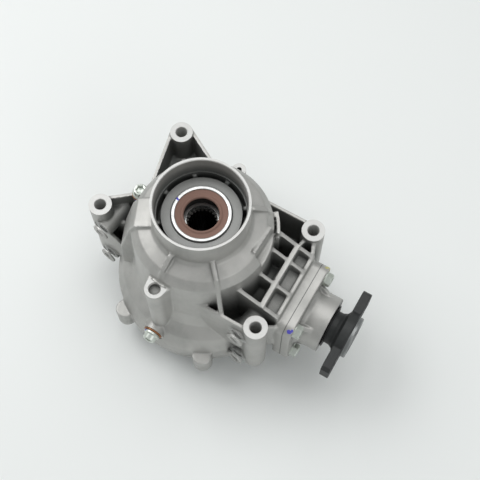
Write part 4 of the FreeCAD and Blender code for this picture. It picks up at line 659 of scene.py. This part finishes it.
class MESH_OT_differential_stage(bpy.types.Operator):
    """Floor, lights, world and camera."""
    bl_idname = "mesh.differential_stage"
    bl_label = "Stage"

    def execute(self, context):
        settings = settings_of("stage")
        floor_board = Board("pale_floor")
        tone = floor_board.blend(floor_board.noise(6, 2.0) * 0.05, settings.floor_colour, (0.78, 0.80, 0.80))
        floor_material = floor_board.finish(tone, 0.6, 0.0)
        floor = shell("floor", [block((-6000, -6000, -20), (6000, 6000, 0))])
        floor.data.materials.append(floor_material)
        world = bpy.data.worlds.new("soft_room")
        world.use_nodes = True
        world.node_tree.nodes["Background"].inputs[0].default_value = (0.95, 0.97, 0.97, 1)
        world.node_tree.nodes["Background"].inputs[1].default_value = settings.room_light
        context.scene.world = world
        for name, place, size, power in LAMPS:
            lamp = bpy.data.lights.new(name, "AREA")
            lamp.shape = "DISK"
            lamp.size = size
            lamp.energy = power
            made = bpy.data.objects.new(name, lamp)
            context.scene.collection.objects.link(made)
            made.location = place
            made.rotation_euler = (LAMP_AIM - Vector(place)).to_track_quat("-Z", "Y").to_euler()
        camera = bpy.data.objects.new("camera", bpy.data.cameras.new("camera"))
        context.scene.collection.objects.link(camera)
        camera.data.lens = settings.camera_lens
        camera.data.sensor_width = 36
        camera.data.sensor_fit = "HORIZONTAL"
        camera.data.clip_start = 0.01
        camera.location = settings.camera_place
        aim = Vector(settings.camera_aim) - Vector(settings.camera_place)
        camera.rotation_euler = aim.to_track_quat("-Z", "Y").to_euler()
        context.scene.camera = camera
        context.scene.view_settings.view_transform = "Standard"
        return {"FINISHED"}


class MESH_OT_differential_finishes(bpy.types.Operator):
    """Materials of the pieces and of the CAD nodes that stay."""
    bl_idname = "mesh.differential_finishes"
    bl_label = "Finishes"

    def execute(self, context):
        casting, metal = settings_of("casting"), settings_of("hardware")
        paint = tuple(metal.paint_colour)
        machined_face(casting)
        # Near-black steel: painted shade for the pieces behind the input flange.
        plated("seal_shade", *SEAL_PAINTED_SHADE_STEEL, 0.40)
        steel = plated("ground_steel", tuple(metal.steel_colour), STEEL_STAIN, 0.22, SEAL_PAINT, paint)
        finishes = {
            "cast_body": cast_skin(casting, paint),
            "zinc": plated("zinc_plate", tuple(metal.zinc_colour), ZINC_STAIN, 0.30, PLUG_PAINT, paint),
            "copper": plated("copper_ring", tuple(metal.copper_colour), COPPER_STAIN, 0.34),
            "gasket": gasket_fibre(),
            "seal_rubber": seal_rubber(metal),
            "seal_steel": steel,
            "bearing_steel": steel,
            "gear_steel": plated("gear_steel", *GEAR_STEEL, 0.30),
            "carrier_iron": iron_skin(),
            "black_steel": black_phosphate(metal),
        }
        for row in RECORD["subparts"]:
            mesh = NODES[row["node"]].data
            mesh.materials.clear()
            mesh.materials.append(finishes[row["material_slot"]])
        mouth = mouth_steel(metal)
        for node in ("side_gear_upper", "side_gear_lower"):
            NODES[node].data.materials[0] = mouth
        return {"FINISHED"}


Mount = namedtuple("Mount", "place axis bore depth")


def mount(name):
    """A mount of the record: its place, axis, radius and length, in millimetres."""
    row = MOUNTS[name]
    place = np.array(row["pos_m"]) / MM
    return Mount(place, np.array(row["axis"], float), row["dims"].get("r_mm"), row["dims"].get("length_mm"))


# Sizes of the castings that the frame doesn't give, in millimetres.
LUGS = ("lug_rear_upper", "lug_front_upper", "lug_rear_lower", "lug_front_lower")
BRACKETS = ("bracket_rear_low", "bracket_rear_high", "bracket_front_low", "bracket_front_high")
LUG_RADIUS = 11.4
BRACKET_RADIUS = 9.0
COLLAR_RADIUS = 45.2
HUB_RADIUS = 37.0
SEAL_SEAT = 27.85
CASE_RADIUS = 91.0
JOINT_RIM = 8
EAR_RADIUS = 10
FLANGE_CORNER = 11.0
FLANGE_HALF = 41.4
FLANGE_THICK = 8
BOLT_CIRCLE = 43.0
BOLT_REACH = BOLT_CIRCLE * CORNERS[0][0]
FLANGE_BOLTS = [(across * BOLT_CIRCLE, GEAR_CENTRE + along * BOLT_CIRCLE) for along, across in CORNERS]
SPIGOT = 36
BARREL_RADIUS = 28.8
VENT_ARC = (69.3, 90.0)
VENT_TURN = (-109.0, -80.0)
VENT_FLOOR = 2.2
FILLER_BOSS = 8.0
FILLER_SEAT = 9.4
DRAIN_BOSS = 11.0
SHOULDER_PLACE = (-3.0, 73.0, 150.0)
SHOULDER_BOSS = 7
SHOULDER_HOLE = 2.6

# Depths to which stock is rooted in a casting, widths that a cutter goes past it, and broken edges.
ROOT = 2
LUG_ROOT = 4
BRACKET_ROOT = 6
AROUND_HOLE = 2
PAST = 4
EDGE_BREAK = 0.5
RIM_BREAK = 0.6

# Sizes of the bolts, plugs and nut, and of the seats cut for them. Flats as wide as ROUND leave a lathe's
# profile round.
BOLT_RADIUS = 4
BOLT_FLATS = 12
BOLT_HEAD = 7
COVER_BOLT = 20
RETAINER_BOLT = 19
FINE_GAP = 0.05
SPOT_FACE = 8.4
SHANK_HOLE = 4.4
PLUG_FLANGE = 8.2
PLUG_HEIGHT = 8.4
PLUG_SOCKET = 7.0
NUT_FLATS = 24
ROUND = [1000]

# Sizes of the axle seals.
AXLE_LIP = 16.2
AXLE_SEAL_WIDTH = 9
AXLE_SEAL_GAP = 0.3


class Work:
    """What is done to a casting: stock put on, closed cutters, and faces and bores that are left bright."""

    def __init__(self):
        self.stock = []
        self.cutters = []
        self.faces = []
        self.bores = []


def pad(place, axis, radius, stock, root=ROOT):
    """Stock on a round face: a rod that starts inside the casting and ends past the face."""
    return rod(np.array(place, float) - np.array(axis, float) * root, axis, radius, root + stock)


def flange_plates(start, end):
    """The flange between nose and retainer: two blocks that cross, whose corners are left for round pads."""
    return [block((start, -wide, GEAR_CENTRE - tall), (end, wide, GEAR_CENTRE + tall))
            for wide, tall in ((FLANGE_HALF, BOLT_REACH), (BOLT_REACH, FLANGE_HALF))]


def slab(low, high):
    """A cutter wider than the case, between two heights."""
    return block((-130, -120, low), (130, 120, high))


def joint_rim(start, stock):
    """Stock round the joint of case and cover."""
    return tube((0, 0, start), AXLE, CASE_RADIUS - JOINT_RIM, CASE_RADIUS, ROOT + stock, 192)


def lugs(work, stock):
    """For each lug: stock on both faces and in the hole, and a spool that cuts faces, hole and chamfers."""
    for name in LUGS:
        place, axis, bore, height = mount(name)
        low = place - axis * height / 2
        outer = LUG_RADIUS + 2.5
        work.stock += [rod(low - axis * stock, axis, LUG_RADIUS, LUG_ROOT + stock),
                       rod(low + axis * (height - LUG_ROOT), axis, LUG_RADIUS, LUG_ROOT + stock),
                       rod(low, axis, bore + AROUND_HOLE, height)]
        work.cutters.append(lathe(low, axis, (
            (0, -PAST), (outer, -PAST), (outer, 0), (bore + EDGE_BREAK, 0), (bore, EDGE_BREAK),
            (bore, height - EDGE_BREAK), (bore + EDGE_BREAK, height), (outer, height), (outer, height + PAST),
            (0, height + PAST))))
        work.faces += [(low, -axis, outer), (low + axis * height, axis, outer)]
        work.bores.append((place, axis, bore, height / 2))


def brackets(work, stock):
    """For each bracket boss: stock on its face and in its hole, and a tool that faces and drills it."""
    for name in BRACKETS:
        place, axis, bore, depth = mount(name)
        outer = BRACKET_RADIUS + 1.8
        work.stock += [pad(place, axis, BRACKET_RADIUS, stock, BRACKET_ROOT),
                       rod(place - axis * (depth + 1), axis, bore + AROUND_HOLE, depth + 1)]
        work.cutters.append(lathe(place, axis, (
            (0, -depth - bore * 0.5), (bore, -depth), (bore, -EDGE_BREAK * 2), (bore + EDGE_BREAK * 2, 0),
            (outer, 0), (outer, PAST), (0, PAST))))
        work.faces.append((place, axis, outer))
        work.bores.append((place - axis * depth / 2, axis, bore, depth / 2))


def collar(work, stock):
    """The axle collar's rim and machined mouth, the seal boss face and the seal seat."""
    rim = mount("axle_collar_upper")
    mouth = rim.bore
    floor = COLLAR_TOP - rim.depth
    seat = SPAN["axle_seal_case_upper"][0][2]
    work.stock += [tube((0, 0, floor), AXLE, mouth - stock, COLLAR_RADIUS, rim.depth + stock),
                   tube((0, 0, HUB_TOP - ROOT), AXLE, SEAL_SEAT - stock, HUB_RADIUS, ROOT + stock)]
    work.cutters.append(lathe((0, 0, 0), AXLE, (
        (0, seat - 1), (SEAL_SEAT, seat - 1), (SEAL_SEAT, HUB_TOP - RIM_BREAK),
        (SEAL_SEAT + RIM_BREAK, HUB_TOP), (HUB_RADIUS + 1.6, HUB_TOP), (HUB_RADIUS + 1.6, floor),
        (mouth, floor), (mouth, COLLAR_TOP - 0.7), (mouth + 0.7, COLLAR_TOP), (COLLAR_RADIUS + 2, COLLAR_TOP),
        (COLLAR_RADIUS + 2, COLLAR_TOP + PAST), (0, COLLAR_TOP + PAST)), 192))
    work.faces.append(((0, 0, COLLAR_TOP), AXLE, 50))


def vent_pad(work, stock):
    """The vent pad: its face is cut level over a sector of a ring, so that the pad's ridge stays."""
    place, axis, bore, depth = mount("vent_pad")
    top = place + axis * (depth / 2)
    spin = np.radians(np.linspace(*VENT_TURN, 9))
    turn = np.stack((np.cos(spin), np.sin(spin)), axis=1)
    sector = np.concatenate((VENT_ARC[0] * turn, VENT_ARC[1] * turn[::-1]))
    work.stock += [pad(top, AXLE, bore + 3.4, stock),
                   rod((place[0], place[1], top[2] - depth), AXLE, bore + AROUND_HOLE, depth)]
    work.cutters.append(prism(sector, (0, 0, top[2]), AXLE, 5))
    work.faces.append((top, AXLE, 20))


def vent_hole():
    """The hole of the vent pad, a little shorter than the true one, so that its floor catches light."""
    place, axis, bore, depth = mount("vent_pad")
    floor = VENT_FLOOR - depth
    return lathe(place + axis * (depth / 2), AXLE, (
        (0, floor), (bore - 0.9, floor), (bore - 0.9, -1.4), (bore, -0.6), (bore, 1), (0, 1)))


def plug_seats(work, stock):
    """The seats of the filler and drain plugs, each a round pad cut flat."""
    x, y = middle(SPAN["filler_washer"])[:2]
    filler = (x, y, round(SPAN["filler_washer"][0][2], 1) - SEAT_GAP)
    x, z = middle(SPAN["drain_washer"])[[0, 2]]
    drain = (x, SPAN["drain_washer"][1][1] + SEAT_GAP, z)
    work.stock += [pad(filler, AXLE, FILLER_BOSS, stock), pad(drain, DRAIN, DRAIN_BOSS, stock)]
    work.cutters += [rod(filler, AXLE, FILLER_SEAT, 14), rod(drain, DRAIN, DRAIN_BOSS + 1, 8)]
    work.faces += [(filler, AXLE, 10), (drain, DRAIN, 13)]


def shoulder_boss(work, stock):
    """The small tapped boss on the shoulder of the case."""
    x, y, z = SHOULDER_PLACE
    work.stock += [pad(SHOULDER_PLACE, AXLE, SHOULDER_BOSS, stock), rod((x, y, z - 10), AXLE, 4.4, 10)]
    work.cutters.append(lathe(SHOULDER_PLACE, AXLE, (
        (0, -10), (SHOULDER_HOLE, -9), (SHOULDER_HOLE, 0), (8, 0), (8, 3), (0, 3))))
    work.faces.append((SHOULDER_PLACE, AXLE, 9))


def joint_faces(work, stock):
    """The nose face for the retainer and the face for the cover, cut flat after the corners are worn."""
    work.stock += flange_plates(NOSE_FACE - ROOT, NOSE_FACE + stock)
    work.stock.append(joint_rim(JOINT - stock, stock))
    work.stock += [pad((NOSE_FACE, y, z), INPUT, FLANGE_CORNER, stock) for y, z in FLANGE_BOLTS]
    for points in islands("cover_bolts"):
        x, y = middle(points)[:2]
        work.stock.append(rod((x, y, JOINT - stock), AXLE, EAR_RADIUS, ROOT + stock))
    work.cutters += [block((NOSE_FACE, -60, 20), (NOSE_FACE + 6, 60, 140)),
                     rod((NOSE_FACE - 3, 0, GEAR_CENTRE), INPUT, SPIGOT, 3.0),
                     slab(JOINT - 6, JOINT),
                     rod((0, 0, JOINT), AXLE, CASE_RADIUS - 11, 3)]
    work.faces += [((NOSE_FACE, 0, GEAR_CENTRE), INPUT, 80), ((0, 0, JOINT), UNDER, 130)]


def casting(node, voxel, triangles, work, *holes):
    """Cast and machine a piece of the housing in place of its CAD node. Holes are cut after the faces."""
    made = cast(node, node + "_casting", voxel, WORN_ROUNDS, triangles, work.stock, [work.cutters, *holes])
    mark_machined(made, work.faces, work.bores)
    kept(made, "case", "cast_body", node)


class MESH_OT_differential_case(bpy.types.Operator):
    """Gear case: a casting with worn corners and cut faces."""
    bl_idname = "mesh.differential_case"
    bl_label = "Gear case"

    def execute(self, context):
        settings = settings_of("casting")
        work = Work()
        for step in (lugs, brackets, collar, vent_pad, plug_seats, shoulder_boss, joint_faces):
            step(work, settings.allowance / MM)
        casting("gear_case", settings.voxel, CASE_TRIANGLES, work, [vent_hole()])
        return {"FINISHED"}


class MESH_OT_differential_cover(bpy.types.Operator):
    """Side cover: a casting with a cut joint face and cut seats for the bolts."""
    bl_idname = "mesh.differential_cover"
    bl_label = "Side cover"

    def execute(self, context):
        settings = settings_of("casting")
        stock = settings.allowance / MM
        mouth = mount("axle_collar_lower").bore
        low = SPAN["side_cover"][0][2]
        boss, seat = SPAN["axle_seal_case_lower"][:, 2]
        work = Work()
        work.stock += [
            joint_rim(COVER_TOP - ROOT, stock),
            tube((0, 0, low - stock), AXLE, mouth - stock, COLLAR_RADIUS, boss + stock - low),
            tube((0, 0, boss - stock), AXLE, SEAL_SEAT - stock, mouth + 1, ROOT + stock)]
        work.cutters += [
            slab(COVER_TOP, COVER_TOP + 6),
            lathe((0, 0, 0), AXLE, (
                (0, low - PAST), (COLLAR_RADIUS + 2, low - PAST), (COLLAR_RADIUS + 2, low),
                (mouth + RIM_BREAK, low), (mouth, low + RIM_BREAK), (mouth, boss),
                (SEAL_SEAT + RIM_BREAK, boss), (SEAL_SEAT, boss + RIM_BREAK), (SEAL_SEAT, seat + 1),
                (0, seat + 1)), 192)]
        work.faces += [((0, 0, COVER_TOP), AXLE, 130), ((0, 0, low), UNDER, 50), ((0, 0, boss), UNDER, 44)]
        for points in islands("cover_bolts"):
            x, y = middle(points)[:2]
            head = points[:, 2].min() + BOLT_HEAD + FINE_GAP
            work.stock.append(pad((x, y, COVER_TOP), AXLE, EAR_RADIUS, stock))
            work.cutters += [rod((x, y, head - BOLT_HEAD), AXLE, SPOT_FACE, BOLT_HEAD, 48),
                             rod((x, y, head + 1), AXLE, SHANK_HOLE, COVER_TOP - head - 2, 32)]
            work.faces.append(((x, y, head), UNDER, 9))
        work.bores.append(((0, 0, (low + boss) / 2), AXLE, mouth, 4))
        casting("side_cover", settings.voxel, COVER_TRIANGLES, work)
        return {"FINISHED"}


class MESH_OT_differential_retainer(bpy.types.Operator):
    """Pinion retainer: a casting with a cut flange face, bolt seats and end face."""
    bl_idname = "mesh.differential_retainer"
    bl_label = "Pinion retainer"

    def execute(self, context):
        settings = settings_of("casting")
        stock = settings.allowance / MM
        start = NOSE_FACE + SEAT_GAP
        seat = start + FLANGE_THICK
        seal = SPAN["input_seal_case"]
        bore = (seal[1][1] - seal[0][1]) / 2
        face_cut = 2.6
        work = Work()
        work.stock += flange_plates(start - stock, start + ROOT)
        end = (RETAINER_END - ROOT, 0, GEAR_CENTRE)
        work.stock.append(tube(end, INPUT, bore - stock, BARREL_RADIUS, ROOT + stock))
        work.cutters += [
            tube((start - face_cut, 0, GEAR_CENTRE), INPUT, SPIGOT, 70, face_cut),
            lathe((RETAINER_END, 0, GEAR_CENTRE), INPUT, (
                (0, -8), (bore + FINE_GAP, -8), (bore + FINE_GAP, -RIM_BREAK), (bore + 0.7, 0), (31, 0),
                (31, PAST), (0, PAST)))]
        work.faces += [((start, 0, GEAR_CENTRE), (-1, 0, 0), 70), ((RETAINER_END, 0, GEAR_CENTRE), INPUT, 31)]
        for y, z in FLANGE_BOLTS:
            work.stock += [rod((start - stock, y, z), INPUT, FLANGE_CORNER, ROOT + stock),
                           pad((seat, y, z), INPUT, 8.6, stock / 2),
                           rod((start, y, z), INPUT, 6, FLANGE_THICK)]
            work.cutters += [rod((seat, y, z), INPUT, SPOT_FACE, 8, 48),
                             rod((start - 1, y, z), INPUT, SHANK_HOLE, 8.9, 32)]
            work.faces.append(((seat, y, z), INPUT, 9))
        casting("pinion_retainer", settings.voxel * 0.8, RETAINER_TRIANGLES, work)
        return {"FINISHED"}


class MESH_OT_differential_flange(bpy.types.Operator):
    """Input flange: a forging with its edges broken."""
    bl_idname = "mesh.differential_flange"
    bl_label = "Input flange"

    def execute(self, context):
        made = cast("input_flange", "input_flange_forging", FORGED_VOXEL, FORGED_ROUNDS, FORGED_TRIANGLES,
                    [], [])
        made.data.materials.append(bpy.data.materials["black_phosphate"])
        made.data.polygons.foreach_set("use_smooth", np.ones(len(made.data.polygons), bool))
        kept(made, "pinion", "black_steel", "input_flange")
        return {"FINISHED"}


def seal_parts(base, axis, outer, lip, width):
    """An axle seal: a steel case with a rolled rim, and a rubber body with a lip, a trough and a rounded
    shoulder. Both are closed profiles with rounded corners carried round the axis."""
    case = lathe(base, axis, rounded((
        (outer - 3.3, width - 2.2), (outer - 3.3, width - 0.3), (outer - 2.6, width), (outer - 0.5, width),
        (outer, width - 0.6), (outer, 0.3), (outer - 2.6, 0.3), (outer - 2.6, 1.0), (outer - 0.9, 1.0),
        (outer - 0.9, width - 2.2)), 0.5), 192, loop=True)
    body = lathe(base, axis, rounded((
        (outer - 3.4, width - 0.9), (outer - 4.4, width - 1.5), (lip + 4.4, width - 2.4),
        (lip + 3.2, width - 2.2), (lip + 2.2, width - 1.3), (lip + 1.0, width - 1.2), (lip, width - 2.6),
        (lip, width - 3.4), (lip + 1.4, width - 5.0), (lip + 1.8, 2.0), (outer - 3.4, 2.0)), 0.7), 192,
        loop=True)
    return case, body


class MESH_OT_differential_seals(bpy.types.Operator):
    """Axle seals, input seal and dust slinger."""
    bl_idname = "mesh.differential_seals"
    bl_label = "Seals"

    def execute(self, context):
        for side, axis in (("upper", AXLE), ("lower", UNDER)):
            low, high = SPAN["axle_seal_case_" + side]
            inner_end = low[2] - AXLE_SEAL_GAP if side == "upper" else high[2] + AXLE_SEAL_GAP
            case, body = seal_parts((0, 0, inner_end), axis, high[0], AXLE_LIP, AXLE_SEAL_WIDTH)
            hardware("axle_seal_ring_" + side, [case], "ground_steel", "case", "seal_steel",
                     "axle_seal_case_" + side)
            hardware("axle_seal_body_" + side, [body], "seal_rubber", "case", "seal_rubber",
                     "axle_seal_lip_" + side)
        low, high = SPAN["input_seal_case"]
        outer = high[1]
        base = (low[0], 0, GEAR_CENTRE)
        case = lathe(base, INPUT, rounded((
            (outer - 2.0, 0), (outer, 0), (outer, 7.6), (outer - 0.5, 8), (outer - 1.4, 8),
            (outer - 1.5, 1.2), (outer - 2.0, 1.2)), 0.25), 128, loop=True)
        body = lathe(base, INPUT, rounded((
            (18.0, 1.6), (outer - 1.6, 1.6), (outer - 1.6, 7.4), (outer - 2.6, 7.0), (18.6, 6.6), (17.1, 8.0),
            (17.1, 6.0)), 0.4), 128, loop=True)
        # The input seal and the dust slinger take the painted shade steel, as they sit in shadow behind the
        # flange.
        hardware("input_seal_ring", [case], "seal_shade", "case", "seal_steel", "input_seal_case")
        hardware("input_seal_body", [body], "seal_shade", "case", "seal_rubber", "input_seal_lip")
        low, high = SPAN["dust_slinger"]
        outer = high[1]
        slinger = lathe((low[0], 0, GEAR_CENTRE), INPUT, rounded((
            (17.15, 0), (outer - 0.6, 0), (outer, 0.4), (outer, 0.9), (outer - 1.4, 1.2), (17.15, 1.2)), 0.3),
            128, loop=True)
        hardware("dust_slinger_disc", [slinger], "seal_shade", "pinion", "seal_steel", "dust_slinger")
        return {"FINISHED"}


def bolt_parts(base, axis, reach):
    """A flange bolt: washer flange, chamfered hexagon with a dished top, and a shank with a chamfered end.
    The base is the seat, and the axis points into the hole."""
    radius, across, head = BOLT_RADIUS, BOLT_FLATS, BOLT_HEAD
    flange = across * 0.62
    wide = across * 0.6
    rows = (
        (0, reach), (radius - 0.8, reach), (radius, reach - 0.9), (radius, 0.0), (flange - 0.3, 0.0),
        (flange, -0.35), (flange, -0.9), (flange - 0.7, -1.4), (wide, -1.75), (wide, -2.0),
        (wide, -head + 1.3), (across * 0.555, -head + 0.9), (across * 0.52, -head + 0.5),
        (across * 0.485, -head + 0.18), (across * 0.46, -head), (across * 0.33, -head),
        (across * 0.27, -head + 0.5), (0, -head + 0.6))
    flats = [[across] if -head - 1 < row[1] < -1.7 else ROUND for row in rows]
    return lathe(base, axis, rows, 72, flats=flats)


def plug_parts(base, axis, thread, reach):
    """A flanged plug: rounded flange, drum head with a rounded rim, and a hexagon socket."""
    flange, height, socket = PLUG_FLANGE, PLUG_HEIGHT, PLUG_SOCKET
    drum = flange - 1.6
    rows = ((0, -reach), (thread - 0.8, -reach), (thread, -reach + 1), (thread, 0), (flange - 0.4, 0.0),
            (flange, 0.4), (flange, 2.0), (flange - 0.5, 2.5), (drum + 0.3, 2.9), (drum, 3.4),
            (drum - 0.3, height - 1.2), (drum - 0.8, height - 0.3), (drum - 1.5, height), (4.9, height),
            (4.1, height - 0.7), (4.05, height - 4.6), (2.4, height - 5.2), (0, height - 5.3))
    flats = [ROUND] * 14 + [[socket]] * 2 + [ROUND] * 2
    return lathe(base, axis, rows, 96, flats=flats)


def plug_and_washer(name, seat, top, axis, thread, reach):
    """A sealing plug on its washer: the washer starts at the seat and the plug's flange at the top."""
    hardware(name + "_plug_turned", [plug_parts(top, axis, thread, reach)], "zinc_plate", "case", "zinc",
             name + "_plug")
    inner, outer, thick = thread + 0.3, thread + 3.6, 1.6
    profile = rounded(((inner, 0), (outer, 0), (outer, thick), (inner, thick)), 0.5)
    ring = lathe(seat, axis, profile, 96, loop=True)
    hardware(name + "_washer_ring", [ring], "copper_ring", "case", "copper", name + "_washer")


class MESH_OT_differential_hardware(bpy.types.Operator):
    """Plugs, washers, bolts and the flange nut."""
    bl_idname = "mesh.differential_hardware"
    bl_label = "Hardware"

    def execute(self, context):
        x, y = middle(SPAN["filler_plug"])[:2]
        low, high = SPAN["filler_washer"][:, 2]
        plug_and_washer("filler", (x, y, low), (x, y, high + SEAT_GAP), AXLE, 5, 14)
        x, z = middle(SPAN["drain_plug"])[[0, 2]]
        low, high = SPAN["drain_washer"][:, 1]
        plug_and_washer("drain", (x, high, z), (x, low - SEAT_GAP, z), DRAIN, 6, 13)
        covers = []
        for points in islands("cover_bolts"):
            x, y = middle(points)[:2]
            covers.append(bolt_parts((x, y, points[:, 2].min() + BOLT_HEAD), AXLE, COVER_BOLT))
        hardware("cover_bolts_headed", covers, "zinc_plate", "case", "zinc", "cover_bolts")
        fronts = []
        for points in islands("retainer_bolts"):
            y, z = middle(points)[1:]
            fronts.append(bolt_parts((points[:, 0].max() - BOLT_HEAD, y, z), (-1, 0, 0), RETAINER_BOLT))
        hardware("retainer_bolts_headed", fronts, "zinc_plate", "case", "zinc", "retainer_bolts")
        nut = lathe((SPAN["flange_nut"][0][0], 0, GEAR_CENTRE), INPUT, (
            (8.05, 0.6), (8.6, 0), (11.6, 0), (12.6, 0.4), (13.9, 1.0), (13.9, 6.0), (12.6, 6.6), (11.6, 7.0),
            (8.6, 7.0), (8.05, 6.4)), 96, loop=True, flats=[ROUND] * 2 + [[NUT_FLATS]] * 6 + [ROUND] * 2)
        hardware("flange_nut_hexed", [nut], "zinc_plate", "pinion", "zinc", "flange_nut")
        return {"FINISHED"}


class VIEW3D_PT_differential(bpy.types.Panel):
    """Lists the differential's operators and settings."""
    bl_idname = "VIEW3D_PT_differential"
    bl_label = "Rear differential"
    bl_space_type = "VIEW_3D"
    bl_region_type = "UI"
    bl_category = "Differential"

    def draw(self, context):
        for operator in OPERATORS:
            self.layout.operator(operator.bl_idname)
        for name, group in GROUPS:
            column = self.layout.column(heading=name)
            for key in group.__annotations__:
                column.prop(settings_of(name), key)


GROUPS = (("stage", StageSettings), ("casting", CastingSettings), ("hardware", HardwareSettings))
OPERATORS = (MESH_OT_differential_stage, MESH_OT_differential_finishes, MESH_OT_differential_case,
             MESH_OT_differential_cover, MESH_OT_differential_retainer, MESH_OT_differential_flange,
             MESH_OT_differential_seals, MESH_OT_differential_hardware)


def register():
    for name, group in GROUPS:
        bpy.utils.register_class(group)
        setattr(bpy.types.Scene, "differential_" + name, PointerProperty(type=group))
    for operator in OPERATORS:
        bpy.utils.register_class(operator)
    bpy.utils.register_class(VIEW3D_PT_differential)


def unregister():
    bpy.utils.unregister_class(VIEW3D_PT_differential)
    for operator in reversed(OPERATORS):
        bpy.utils.unregister_class(operator)
    for name, group in reversed(GROUPS):
        delattr(bpy.types.Scene, "differential_" + name)
        bpy.utils.unregister_class(group)


def main():
    register()
    bpy.ops.mesh.differential_stage()
    bpy.ops.mesh.differential_finishes()
    bpy.ops.mesh.differential_case()
    bpy.ops.mesh.differential_cover()
    bpy.ops.mesh.differential_retainer()
    bpy.ops.mesh.differential_flange()
    bpy.ops.mesh.differential_seals()
    bpy.ops.mesh.differential_hardware()


if __name__ == "__main__":
    main()
